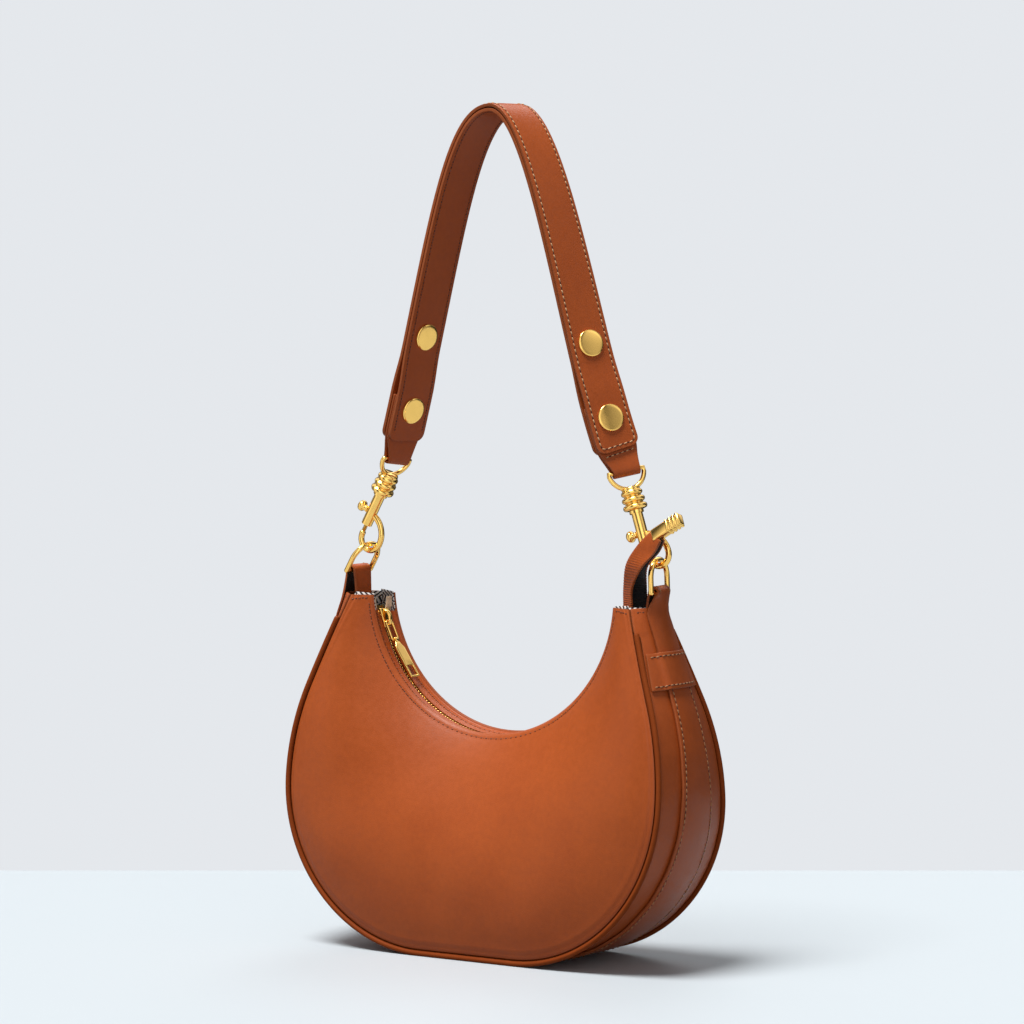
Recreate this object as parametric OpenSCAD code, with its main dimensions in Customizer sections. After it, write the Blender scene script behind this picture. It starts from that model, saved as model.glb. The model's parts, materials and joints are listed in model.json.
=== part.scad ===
// Half moon shoulder bag with a zip along its concave top and a clip-on strap. Millimetres.
// X runs along the bag from left to right, the front faces -Y, and the floor is Z = 0.

/* [Bag body] */
// Width of the bag between its side seams
bag_w = 242; // [220:1:260]
// Flat stretch of the bottom seam
bottom_flat = 62; // [50:1:74]
// Height of the tips above the bottom seam
tip_rise = 193; // [186:1:204]
// Radius of the upper side seam
side_r = 148; // [138:1:158]
// Lean of the side seam towards the tips, in degrees
side_lean = 20.5; // [18:0.5:22]
// Depth between the seams at the bottom
bottom_depth = 74; // [68:1:82]
// Depth between the seams at the tips
tip_depth = 30; // [29:1:34]
// How fast the depth falls off towards the tips
depth_power = 2.5; // [2:0.1:3]
// How far the front and back panels swell
panel_bulge = 4; // [2:0.5:6]
// How far the gusset swells at the sides
side_bulge = 4; // [2:0.5:6]
// How far the gusset swells at the tips
tip_bulge = 10; // [8:0.5:11]
// Thickness of the body leather
leather_t = 1.8; // [1.4:0.1:2]
// Diameter of the piping
piping_d = 3; // [2.6:0.1:3.6]
// Length of the tips that the piping leaves bare
piping_short = 14; // [10:1:20]

/* [Mouth] */
// Width of the concave mouth between the tips
mouth_w = 160; // [156:1:164]
// Drop of the mouth below the tips
mouth_drop = 73.5; // [70:0.5:76]
// Opening between the front and back top edges
mouth_gap = 22; // [21:0.5:24]

/* [Trim] */
// Width of the gusset band along the bottom
band_bottom_w = 35; // [30:1:40]
// Width of the gusset band near the tips
band_tip_w = 22; // [20:1:23]
// Thickness of the gusset band
band_t = 1.6; // [1.2:0.1:2]
// Width of a keeper along the gusset
keeper_w = 21; // [16:1:24]
// Distance from a keeper's upper edge to the tip
keeper_drop = 26; // [24:1:32]
// Thickness of a keeper
keeper_t = 1.2; // [1:0.1:1.6]
// Thickness of the lining
lining_t = 0.6; // [0.5:0.1:0.8]
// Width of the base board
board_w = 58; // [50:1:62]
// Depth of the base board
board_d = 56; // [46:1:60]
// Thickness of the base board
board_t = 1.2; // [1:0.1:1.4]

/* [Zip] */
// Recess of the zip facings below the mouth's rim
facing_recess = 2.3; // [2.2:0.1:3]
// Thickness of a zip facing
facing_t = 1.2; // [1:0.1:1.4]
// Gap between the two zip facings
facing_gap = 6.4; // [6.4:0.1:7]
// Thickness of the zip tape
tape_t = 0.6; // [0.5:0.1:0.8]
// Pitch of the zip teeth
tooth_pitch = 3.2; // [3:0.1:4]
// Length of a zip tooth along the zip
tooth_l = 1.7; // [1.4:0.1:2]
// Height of a zip tooth
tooth_h = 2.2; // [2:0.1:2.4]
// Length of the slider
slider_l = 11; // [9:0.5:12]
// Width of the slider
slider_w = 8.6; // [8:0.2:9.6]
// Length of the pull link
link_l = 13; // [11:0.5:15]
// Width of the pull link
link_w = 7; // [6.6:0.1:8]
// Length of the pull tab
tab_l = 26; // [22:1:30]
// Width of the pull tab
tab_w = 8; // [7.6:0.2:9]
// Side of the square window in the pull tab
window_w = 5; // [4.2:0.1:5.4]

/* [Rings and snaps] */
// Distance between the legs of a D-ring
ring_w = 20; // [19:0.2:21]
// Height of a D-ring from its bar to its bow
ring_h = 17.6; // [17:0.2:18.6]
// Diameter of a D-ring's wire
ring_d = 3; // [2.6:0.1:3]
// Turn of both ring bars towards the inside at the back, in degrees
ring_turn = 6; // [0:1:7]
// Inward lean of the left D-ring, in degrees
left_ring_lean = 32; // [29:1:33]
// Inward lean of the right D-ring, in degrees
right_ring_lean = 2; // [0:1:3]
// Left ring bar beyond the tip's seam
left_bar_out = 5.5; // [5:0.5:7]
// Left ring bar above the tip
left_bar_up = 13; // [12:0.5:14]
// Right ring bar beyond the tip's seam
right_bar_out = 10.5; // [10:0.5:11]
// Right ring bar above the tip
right_bar_up = 9; // [8.5:0.5:10]
// Lean of the left snap, top towards the right, in degrees
left_snap_lean = 29.5; // [28:0.5:31]
// Lean of the right snap, top towards the left, in degrees
right_snap_lean = 17.5; // [16:0.5:18]
// Radius of the snap's hook at the middle of its wire
hook_r = 6.6; // [6.6:0.1:7.2]
// Diameter of the hook's wire
hook_d = 3.4; // [3:0.1:3.4]
// Outside diameter of the snap's barrel
barrel_d = 6.2; // [6:0.1:7]
// Length of the snap's barrel
barrel_l = 19; // [18:0.5:22]
// Diameter of the swivel head
head_d = 12; // [11:0.5:13]
// Length of the swivel head
head_l = 13; // [12:0.5:15]
// Diameter of the eye's wire
eye_d = 2.6; // [2.4:0.1:3]
// Distance between the legs of the eye
eye_w = 20.2; // [19.6:0.2:21]
// Travel of the snap's trigger
trigger_travel = 6; // [5:0.5:6.5]

/* [Strap] */
// Width of the strap
strap_w = 25; // [22:1:28]
// Thickness of one ply of the strap
ply_t = 2; // [1.6:0.1:2.2]
// Gap between the plies along the strap
ply_gap = 0.8; // [0.6:0.1:1]
// Height of the strap's top above the lower end
strap_rise = 198; // [180:1:220]
// Sideways place of the strap's top
strap_top_x = 2.3; // [0:0.1:6]
// Width of a strap tab where it folds round the eye
strap_tab_w = 15.4; // [14:0.2:16]
// Thickness of a strap tab
strap_tab_t = 1.5; // [1.3:0.1:1.6]
// Bare length of a strap tab between the eye and the plies
strap_tab_bare = 12; // [10:0.5:15]
// Distance from the eye to the lower rivet
rivet_low = 30; // [28:1:34]
// Distance from the eye to the upper rivet
rivet_high = 72; // [66:1:80]
// Diameter of a rivet cap
rivet_cap_d = 15; // [12:0.5:16]

/* [Hidden] */
$fn = 48;

// Clearances and overrun
glue_gap = 0.3;
seam_gap = 0.3;
run_gap = 0.2;
run_fit = 0.1;
over = 1;

// Counts along and across the leather sheets
body_steps = 36;
panel_rows = 4;
gusset_rows = 6;
band_rows = 4;
piping_sides = 8;
strap_steps = 22;

// Seam: a flat bottom, a corner arc, a side arc and a straight run to the tip
corner_r = (bag_w - bottom_flat)/2;
seam_1 = bottom_flat/2;
seam_2 = seam_1 + corner_r*PI/2;
seam_3 = seam_2 + side_r*side_lean*PI/180;
seam_end = seam_3 + (tip_rise - corner_r - side_r*sin(side_lean))/cos(side_lean);
gusset_off = leather_t + seam_gap/2;
band_off = gusset_off + glue_gap;
seam_z = band_off + band_t;
tip_x = bag_w/2 - side_r*(1 - cos(side_lean)) - (seam_end - seam_3)*sin(side_lean);
tip_z = seam_z + tip_rise;

// Mouth: a circle through the tips' inner corners
mouth_r = (mouth_w*mouth_w/4 + mouth_drop*mouth_drop)/(2*mouth_drop);
mouth_z = tip_z - mouth_drop + mouth_r;
mouth_turn = 90 - asin((mouth_z - tip_z)/mouth_r);

function lerp(a, b, t) = a + (b - a)*t;
function clamp(t) = min(1, max(0, t));
function smooth(t) = clamp(t)*clamp(t)*(3 - 2*clamp(t));
function unit(v) = v/norm(v);
function flat(rows) = [for (r = rows) for (p = r) p];

// Angle of the seam's outward normal from straight down, and the seam's own point
function seam_a(s) = s < seam_1 ? 0 : s < seam_2 ? (s - seam_1)/corner_r*180/PI
    : s < seam_3 ? 90 + (s - seam_2)/side_r*180/PI : 90 + side_lean;
function seam_p(s) = s < seam_1 ? [s, 0]
    : s < seam_2 ? [seam_1 + corner_r*sin(seam_a(s)), corner_r*(1 - cos(seam_a(s)))]
    : s < seam_3 ? [bag_w/2 - side_r + side_r*sin(seam_a(s)), corner_r - side_r*cos(seam_a(s))]
    : [tip_x + (seam_end - s)*sin(side_lean), tip_rise - (seam_end - s)*cos(side_lean)];
function half_depth(s) = bottom_depth/2
    - (bottom_depth - tip_depth)/2*pow(seam_p(s)[1]/tip_rise, depth_power);
function swell(s) = side_bulge*smooth((s - seam_1)/(seam_2 - seam_1))
    + (tip_bulge - side_bulge)*pow(clamp((s - seam_2)/(seam_end - seam_2)), 3);

// A point of the gusset's wall, off its seam line, at a signed distance along the seam
function wall(s, y, off) = let (q = abs(s), h = half_depth(q))
    [sign(s)*(seam_p(q)[0] + off*sin(seam_a(q)) + swell(q)*cos(90*y/h)), y,
     seam_z + seam_p(q)[1] - off*cos(seam_a(q))];

// A point of the front or back panel: f runs from tip to tip, v from the mouth to the seam
function mouth_p(f, r) = [sign(f)*r*sin(mouth_turn*abs(f)), mouth_z - r*cos(mouth_turn*abs(f))];
function panel(face, f, v, r, off) = let (q = abs(f)*seam_end, m = mouth_p(f, r),
    e = [sign(f)*seam_p(q)[0], seam_z + seam_p(q)[1]],
    y = lerp(mouth_gap/2, half_depth(q), v) + panel_bulge*4*v*(1 - v)*(1 - pow(abs(f), 4)))
    [lerp(m[0], e[0], v), face*(y - off), lerp(m[1], e[1], v)];

// A closed skin between two sheets of points with the same rows and columns
module skin(a, b) {
    n = len(a);
    m = len(a[0]);
    k = n*m;
    inward = cross(a[1][0] - a[0][0], a[0][1] - a[0][0])*(b[0][0] - a[0][0]) > 0;
    quads = concat(
        [for (i = [0:n - 2]) for (j = [0:m - 2]) [i*m + j, (i + 1)*m + j, (i + 1)*m + j + 1, i*m + j + 1]],
        [for (i = [0:n - 2]) for (j = [0:m - 2])
            [k + i*m + j + 1, k + (i + 1)*m + j + 1, k + (i + 1)*m + j, k + i*m + j]],
        [for (i = [0:n - 2]) [k + i*m, k + (i + 1)*m, (i + 1)*m, i*m]],
        [for (i = [0:n - 2]) [i*m + m - 1, (i + 1)*m + m - 1, k + (i + 1)*m + m - 1, k + i*m + m - 1]],
        [for (j = [0:m - 2]) [j, j + 1, k + j + 1, k + j]],
        [for (j = [0:m - 2]) [k + k - m + j, k + k - m + j + 1, k - m + j + 1, k - m + j]]);
    tris = [for (q = quads) for (t = [[q[0], q[1], q[2]], [q[0], q[2], q[3]]])
        inward ? t : [t[2], t[1], t[0]]];
    polyhedron(points = concat(flat(a), flat(b)), faces = tris);
}

// A closed tube through rings of points
module tube(rings) {
    n = len(rings);
    m = len(rings[0]);
    mid = [for (c = [0:2]) rings[0][0][c] - rings[0][m/2][c]];
    inward = cross(rings[1][0] - rings[0][0], rings[0][1] - rings[0][0])*mid < 0;
    tris = concat(
        [for (i = [0:n - 2]) for (j = [0:m - 1]) let (u = (j + 1)%m)
            for (t = [[i*m + j, (i + 1)*m + j, (i + 1)*m + u], [i*m + j, (i + 1)*m + u, i*m + u]]) t],
        [for (j = [1:m - 2]) [0, j, j + 1]],
        [for (j = [1:m - 2]) [(n - 1)*m, (n - 1)*m + j + 1, (n - 1)*m + j]]);
    polyhedron(points = flat(rings), faces = [for (t = tris) inward ? t : [t[2], t[1], t[0]]]);
}

// Places its children at a point with the given axes
module at_frame(p, x, y, z) {
    multmatrix([[x[0], y[0], z[0], p[0]], [x[1], y[1], z[1], p[1]], [x[2], y[2], z[2], p[2]], [0, 0, 0, 1]])
        children();
}

// Body leather
module body_panel(face) {
    skin([for (i = [-body_steps/2:body_steps/2]) [for (j = [0:panel_rows])
            panel(face, 2*i/body_steps, j/panel_rows, mouth_r, 0)]],
        [for (i = [-body_steps/2:body_steps/2]) [for (j = [0:panel_rows])
            panel(face, 2*i/body_steps, j/panel_rows, mouth_r, leather_t)]]);
}

module front_panel() {
    color("sienna") body_panel(-1);
}

module back_panel() {
    color("sienna") body_panel(1);
}

// A strip of the gusset's wall; half gives its half width at each station
module wall_strip(from, to, steps, rows, half, low, high) {
    stations = [for (i = [0:steps]) lerp(from, to, i/steps)];
    skin([for (i = [0:steps]) [for (j = [0:rows])
            wall(stations[i], half[i]*(2*j/rows - 1), high)]],
        [for (i = [0:steps]) [for (j = [0:rows])
            wall(stations[i], half[i]*(2*j/rows - 1), low)]]);
}

gusset_edge = piping_d/2 + piping_d/5 + 2*seam_gap;

module gusset() {
    half = [for (i = [0:body_steps]) half_depth(abs(seam_end*(2*i/body_steps - 1))) - gusset_edge];
    color("saddlebrown")
        wall_strip(-seam_end, seam_end, body_steps, gusset_rows, half, gusset_off - leather_t, gusset_off);
}

// The band ends and the ring tabs start under the keepers
under_keeper = keeper_drop + keeper_w/2;
band_end = seam_end - under_keeper - glue_gap;
band_taper = 120;
function band_half(s) = lerp(band_tip_w, band_bottom_w, smooth((band_end - abs(s))/band_taper))/2;

module gusset_band() {
    half = [for (i = [0:body_steps]) band_half(band_end*(2*i/body_steps - 1))];
    color("sienna") wall_strip(-band_end, band_end, body_steps, band_rows, half, band_off, band_off + band_t);
}

module piping(face) {
    end = seam_end - piping_short;
    out = seam_z - piping_d/2*cos(180/piping_sides);
    color("peru") tube([for (i = [0:body_steps]) let (s = end*(2*i/body_steps - 1), q = abs(s),
        y = face*(half_depth(q) - piping_d/5))
        [for (j = [0:piping_sides - 1]) let (a = 360*(j + 0.5)/piping_sides,
            off = out + piping_d/2*cos(a))
            [sign(s)*(seam_p(q)[0] + off*sin(seam_a(q))), y + piping_d/2*sin(a),
             seam_z + seam_p(q)[1] - off*cos(seam_a(q))]]]);
}

module front_piping() {
    piping(-1);
}

module back_piping() {
    piping(1);
}

// A keeper crosses the gusset over the band and comes down on the gusset at both sides
keeper_steps = 3;
keeper_slope = 3;
module keeper(side) {
    top = seam_end - keeper_drop;
    stations = [for (i = [0:keeper_steps]) side*(top - keeper_w*i/keeper_steps)];
    function across(s) = let (h = half_depth(abs(s)) - gusset_edge - seam_gap, b = band_tip_w/2)
        [-h, -b - keeper_slope, -b, 0, b, b + keeper_slope, h];
    low = gusset_off + glue_gap;
    high = band_off + band_t + 2*glue_gap;
    offs = [low, low, high, high, high, low, low];
    color("sienna") skin(
        [for (s = stations) [for (j = [0:6]) wall(s, across(s)[j], offs[j] + keeper_t)]],
        [for (s = stations) [for (j = [0:6]) wall(s, across(s)[j], offs[j])]]);
}

module left_keeper() {
    keeper(-1);
}

module right_keeper() {
    keeper(1);
}

// Ring tabs: up from under the keeper, round the ring's bar and down inside the gusset
ring_tab_t = 1.5;
ring_tab_w = 14.2;
ring_tab_inside = 21;
ring_tab_cols = [-1, -0.7, -0.35, 0, 0.35, 0.7, 1];
ring_tab_turns = [-12, 20, 55, 90, 125, 160, 192];
bar_gap = 0.4;
function bar_p(side) = side < 0 ? [-(tip_x + left_bar_out), 0, tip_z + left_bar_up]
    : [tip_x + right_bar_out, 0, tip_z + right_bar_up];

function bar_out(side) = [side*cos(ring_turn), sin(ring_turn), 0];
function bar_back(side) = [-side*sin(ring_turn), cos(ring_turn), 0];
function tab_row(side, u, off) = let (r = ring_d/2 + bar_gap + off)
    [for (j = ring_tab_cols) bar_p(side) + ring_tab_w/2*j*bar_back(side) + r*cos(u)*bar_out(side)
        + [0, 0, r*sin(u)]];
function tab_low(side, s, w, off) = [for (j = ring_tab_cols) wall(side*s, w*j, band_off + run_fit + off)];
function tab_in(side, s, off) = let (w = ring_tab_w/2, r = ring_d/2 + bar_gap,
    x = min(abs(wall(s, w, -glue_gap)[0]), abs(bar_p(side)[0]) - r - w*sin(ring_turn)) - ring_tab_t + off)
    [for (j = ring_tab_cols) [side*x, w*j, wall(s, 0, 0)[2]]];

module ring_tab(side) {
    start = seam_end - under_keeper;
    lows = [start, lerp(start, seam_end, 1/3), lerp(start, seam_end, 2/3), seam_end];
    w = band_tip_w/2;
    function sheet(off) = concat([for (s = lows) tab_low(side, s, w, off)],
        [for (u = ring_tab_turns) tab_row(side, u, off)],
        [for (d = [0, ring_tab_inside]) tab_in(side, seam_end - d, ring_tab_t - off)]);
    color("sienna") skin(sheet(ring_tab_t), sheet(0));
}

module left_ring_tab() {
    ring_tab(-1);
}

module right_ring_tab() {
    ring_tab(1);
}

// D-rings: a straight bar, two legs and a round bow, leaning inwards about the bar
module d_ring(side, lean) {
    leg = ring_h - ring_w/2;
    color("gold") translate(bar_p(side)) rotate([0, 0, side*ring_turn]) rotate([0, -side*lean, 0]) {
        for (y = [-1, 1]) translate([0, y*ring_w/2, 0]) cylinder(d = ring_d, h = leg);
        translate([0, 0, leg]) rotate([0, -90, 0]) rotate([0, 0, -90])
            rotate_extrude(angle = 180) translate([ring_w/2, 0]) circle(d = ring_d);
        rotate([90, 0, 0]) cylinder(d = ring_d, h = ring_w, center = true);
        for (y = [-1, 1]) translate([0, y*ring_w/2, 0]) sphere(d = ring_d);
    }
}

module left_ring() {
    d_ring(-1, left_ring_lean);
}

module right_ring() {
    d_ring(1, right_ring_lean);
}

// Zip, drawn about the mouth's centre; angles run from +X towards +Z
facing_lead_l = 2.21;
teeth_lead_l = 9.57;
tail_lead_l = 13.25;
slider_lead_l = 14.14;
stop_lead_l = 3.24;
zip_start = 270 - mouth_turn;
zip_end = 270 + mouth_turn;
facing_r = mouth_r + facing_recess;
tape_r = facing_r + facing_t + glue_gap;
tooth_mid_r = tape_r + tape_t/2;
tooth_tip_y = 0.55;
tooth_root_y = 2.7;
cord_t = 1;
function zip_arc(l) = l/tooth_mid_r*180/PI;
facing_lead = zip_arc(facing_lead_l);
slider_turn = zip_arc(slider_lead_l);
teeth_start = zip_start + zip_arc(teeth_lead_l);
teeth_end = zip_end - zip_arc(tail_lead_l);
tooth_n = floor((teeth_end - teeth_start)*PI/180*tooth_mid_r/tooth_pitch);
facing_out = mouth_gap/2 - leather_t + facing_recess/5;

module about_mouth(turn) {
    translate([0, 0, mouth_z]) rotate([0, -turn, 0]) children();
}

// A strip of the zip, between two radii and two depths, from one angle to another
module arc_strip(face, r0, r1, y0, y1, from, to) {
    translate([0, 0, mouth_z]) rotate([90, 0, 0]) rotate([0, 0, from])
        rotate_extrude(angle = to - from) translate([r0, face < 0 ? y0 : -y1]) square([r1 - r0, y1 - y0]);
}

module zip_facing(face) {
    color("brown") arc_strip(face, facing_r, facing_r + facing_t, facing_gap/2, facing_out,
        zip_start + facing_lead, zip_end - facing_lead);
}

module zip_facing_front() {
    zip_facing(-1);
}

module zip_facing_back() {
    zip_facing(1);
}

module zip_tape(face) {
    color("bisque") arc_strip(face, tape_r, tape_r + tape_t, tooth_root_y + glue_gap,
        facing_out, zip_start + 2*facing_lead, zip_end - 2*facing_lead);
}

module zip_tape_front() {
    zip_tape(-1);
}

module zip_tape_back() {
    zip_tape(1);
}

module zip_teeth(face) {
    shift = face < 0 ? 0 : 0.5;
    color("gold") {
        arc_strip(face, tooth_mid_r - cord_t/2, tooth_mid_r + cord_t/2, tooth_root_y - cord_t,
            tooth_root_y, teeth_start, teeth_end);
        for (i = [0:tooth_n - 1])
            about_mouth(teeth_start + (i + shift + 0.25)*tooth_pitch/tooth_mid_r*180/PI)
                translate([tooth_mid_r - tooth_h/2, face < 0 ? -tooth_root_y : tooth_tip_y, 0])
                    cube([tooth_h, tooth_root_y - tooth_tip_y, tooth_l]);
    }
}

module zip_teeth_front() {
    zip_teeth(-1);
}

module zip_teeth_back() {
    zip_teeth(1);
}

stop_l = 2.4;
module zip_stops() {
    color("gold") {
        for (face = [-1, 1]) about_mouth(teeth_start - zip_arc(stop_lead_l))
            translate([tooth_mid_r - tooth_h/2, face < 0 ? -tooth_root_y : tooth_tip_y, 0])
                cube([tooth_h, tooth_root_y - tooth_tip_y, stop_l]);
        about_mouth(teeth_end + zip_arc(tooth_l)) translate([tooth_mid_r - tooth_h/2, -tooth_root_y, 0])
            cube([tooth_h, 2*tooth_root_y, stop_l]);
    }
}

// Slider: two plates joined by a thin bridge that runs between the two rows of teeth
plate_t = 1.2;
slider_top_r = facing_r - 2*run_gap - plate_t;
slider_low_r = tooth_mid_r + tooth_h/2 + 2*run_gap;
bridge_w = 0.6;
bridge_l = 4;
crown_w = 2.6;
crown_l = 9;
crown_h = 3;
link_wire = 1.3;
link_z = 2;
pin_gap = 0.15;

module zip_slider() {
    color("gold") about_mouth(zip_start + slider_turn) {
        translate([slider_top_r, -slider_w/2, -slider_l/2]) cube([plate_t, slider_w, slider_l]);
        translate([slider_low_r, -slider_w/2, -slider_l/2]) cube([plate_t, slider_w, slider_l]);
        translate([slider_top_r + plate_t/2, -bridge_w/2, -slider_l/2])
            cube([slider_low_r - slider_top_r, bridge_w, bridge_l]);
        difference() {
            translate([slider_top_r - crown_h, -crown_w/2, -crown_l/2])
                cube([crown_h + plate_t/2, crown_w, crown_l]);
            translate([link_r, 0, link_z]) rotate([90, 0, 0])
                cylinder(d = link_wire + 2*pin_gap, h = crown_w + 2*over, center = true);
        }
    }
}

// The link and the tab lie over the zip as two chords inside the rim
link_r = slider_top_r - link_wire/2 - run_gap;
link_turn = zip_start + slider_turn + atan(link_z/link_r);
tab_pin_r = facing_r - 2*run_gap - 2.8;
function polar(r, a) = [r*cos(a), 0, mouth_z + r*sin(a)];
function chord_end(p, l, r) = let (c = [0, 0, mouth_z], d = norm(p - c),
    cosine = (d*d + r*r - l*l)/(2*d*r), a = atan2(p[2] - mouth_z, p[0])) polar(r, a + acos(cosine));
link_pin = polar(link_r, link_turn);
tab_pin = chord_end(link_pin, link_l - link_wire, tab_pin_r);
tab_foot = chord_end(tab_pin, tab_l - 2.2, tab_pin_r - 0.4);

// Draws along +X from one point towards another, with +Y kept and +Z on the mouth's side
module along(p, q) {
    d = unit(q - p);
    at_frame(p, d, [0, 1, 0], cross(d, [0, 1, 0])) children();
}

module pull_link() {
    l = link_l - link_wire;
    color("gold") along(link_pin, tab_pin) {
        for (x = [0, l]) translate([x, 0, 0]) rotate([90, 0, 0])
            cylinder(d = link_wire, h = link_w, center = true);
        for (y = [-1, 1]) translate([-link_wire/2, y*(link_w - link_wire)/2 - link_wire/2, -link_wire/2])
            cube([link_l, link_wire, link_wire]);
    }
}

pull_t = 1.5;
neck_w = 3.4;
neck_l = 5;
eyelet_d = 3.2;
window_edge = (tab_w - window_w)/2;
module pull_tab() {
    l = tab_l - eyelet_d/2;
    color("gold") along(tab_pin, tab_foot) difference() {
        union() {
            rotate([90, 0, 0]) cylinder(d = eyelet_d, h = neck_w, center = true);
            translate([0, 0, -pull_t/2]) linear_extrude(pull_t)
                polygon([[0, -neck_w/2], [neck_l, -tab_w/2], [l, -tab_w/2], [l, tab_w/2],
                    [neck_l, tab_w/2], [0, neck_w/2]]);
        }
        rotate([90, 0, 0]) cylinder(d = link_wire + 2*pin_gap, h = neck_w + 2*over, center = true);
        translate([l - window_edge - window_w, -window_w/2, -pull_t]) cube([window_w, window_w, 2*pull_t]);
    }
}

// Zip tail: rows of [vertex, width vector, half gap], the front and back halves folded along the zip
tail_t = 1.5;
function tail_at(p) = [tip_x + p[0], p[1], tip_z + p[2]];
tail_rows = [
    [[facing_r - tip_x + 0.3, 0, 1], [7.5, 0, 0], 5.5],
    [[-9.2, -1, 11], [8, -1, 0], 5],
    [[-3, -10, 24], [13, -4.5, -1], 1.7],
    [[6.5, -13.5, 34.5], [12, -2, -3], 1.2],
    [[15, -14, 42], [8, -3, -4], 1]];

module zip_tail() {
    function ring(row, t) = let (v = tail_at(row[0]), w = row[1], n = [0, row[2], 0], u = unit(w)*t)
        [v + w - n*1.3 - [0, t, 0], v - n*0.45 - [0, t/2, 0] - u, v + n*0.45 + [0, t/2, 0] - u,
         v + w + n*1.3 + [0, t, 0]];
    color("sienna") skin([for (r = tail_rows) ring(r, tail_t)], [for (r = tail_rows) ring(r, 0)]);
}

cap_l = 20;
cap_w = 7;
cap_h = 5;
cap_rib = 0.4;
cap_grip = 1.6;
module tail_cap() {
    last = tail_rows[4];
    along_cap = unit([0.86, 0, 0.51]);
    across = unit(last[1] - (last[1]*along_cap)*along_cap);
    up = cross(along_cap, across);
    end = tail_at(last[0]) + last[1]/3;
    color("gold") at_frame(end - along_cap*cap_grip, along_cap, across, up) {
        translate([0, -cap_w/2, -cap_h/2]) cube([cap_l, cap_w, cap_h]);
        for (i = [0:3]) translate([cap_l*(0.5 + i/8), -cap_w/2 - cap_rib, -cap_h/2 - cap_rib])
            cube([cap_l/16, cap_w + 2*cap_rib, cap_h + 2*cap_rib]);
    }
}

// Lining: front and back sheets and a gusset strip, inside the leather
lining_steps = 24;
lining_under = 2;
lining_top = facing_recess + facing_t + tape_t + lining_under;
lining_off = leather_t + glue_gap;
lining_f = 0.9;
lining_v = 0.94;
lining_edge = 5;
module lining_sheet(face) {
    function sheet(off) = [for (i = [-lining_steps/2:lining_steps/2]) [for (j = [0:panel_rows])
        panel(face, 2*lining_f*i/lining_steps, j*lining_v/panel_rows, mouth_r + lining_top, off)]];
    color("gainsboro") skin(sheet(lining_off), sheet(lining_off + lining_t));
}

module front_lining() {
    lining_sheet(-1);
}

module back_lining() {
    lining_sheet(1);
}

module side_lining() {
    last = seam_end - ring_tab_inside - lining_edge;
    half = [for (i = [0:lining_steps]) half_depth(abs(last*(2*i/lining_steps - 1))) - lining_edge];
    low = -2*glue_gap - board_t - lining_t;
    color("gainsboro") wall_strip(-last, last, lining_steps, panel_rows, half, low, low + lining_t);
}

module base_board() {
    color("tan") translate([-board_w/2, -board_d/2, seam_z + glue_gap]) cube([board_w, board_d, board_t]);
}

// Snaps: drawn with the barrel's lower end at the origin and +Z along the barrel
hook_x = hook_r;
hook_z = -5.8;
hook_gap = 0.5;
function snap_lean(side) = side < 0 ? left_snap_lean : -right_snap_lean;
function ring_top(side) = let (l = side < 0 ? left_ring_lean : right_ring_lean)
    bar_p(side) + ring_h*([0, 0, cos(l)] - sin(l)*bar_out(side));
function snap_up(side) = [sin(snap_lean(side)), 0, cos(snap_lean(side))];
function snap_out(side) = [cos(snap_lean(side)), 0, -sin(snap_lean(side))];
function snap_p(side) = ring_top(side) - [0, 0, (ring_d + hook_d)/2 + hook_gap - hook_r]
    - hook_x*snap_out(side) - hook_z*snap_up(side);

module at_snap(side) {
    at_frame(snap_p(side), snap_out(side), [0, 1, 0], snap_up(side)) children();
}

// The hook's back arc ends inside the barrel's side
root_x = 2*hook_x - barrel_d/2 + run_fit;
root_rise = 12.4;
root_r = (root_x*root_x + root_rise*root_rise)/(2*root_x);
root_turn = asin(root_rise/root_r);
bore_d = 4;
rod_d = 2.2;
floor_t = 1.4;
slot_w = 1.8;
knob_z = 7.6;
stem_d = 4.4;
flange_d = 6.4;
flange_t = 1.4;
collar_d = 8;
collar_t = 1.6;
stem_l = 9;
head_z = barrel_l + collar_t + run_gap;

module snap(side) {
    color("gold") at_snap(side) {
        difference() {
            union() {
                cylinder(d = barrel_d, h = barrel_l);
                translate([0, 0, barrel_l]) cylinder(d = collar_d, h = collar_t);
                translate([0, 0, barrel_l]) cylinder(d = stem_d, h = stem_l);
                translate([0, 0, barrel_l + stem_l - flange_t]) cylinder(d = flange_d, h = flange_t);
                translate([2*hook_x - root_r, 0, hook_z]) rotate([90, 0, 0])
                    rotate_extrude(angle = root_turn) translate([root_r, 0]) circle(d = hook_d);
            }
            translate([0, 0, floor_t]) cylinder(d = bore_d, h = barrel_l - floor_t - run_gap);
            translate([0, 0, -over]) cylinder(d = rod_d + 2*run_fit, h = floor_t + 2*over);
            translate([-barrel_d, -slot_w/2, knob_z - slot_w/2])
                cube([barrel_d, slot_w, trigger_travel + slot_w + run_gap]);
        }
        translate([hook_x, 0, hook_z]) rotate([90, 0, 0]) rotate([0, 0, 180])
            rotate_extrude(angle = 180) translate([hook_r, 0]) circle(d = hook_d);
        translate([0, 0, hook_z]) sphere(d = hook_d + 2*run_fit);
    }
}

module left_snap() {
    snap(-1);
}

module right_snap() {
    snap(1);
}

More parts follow.
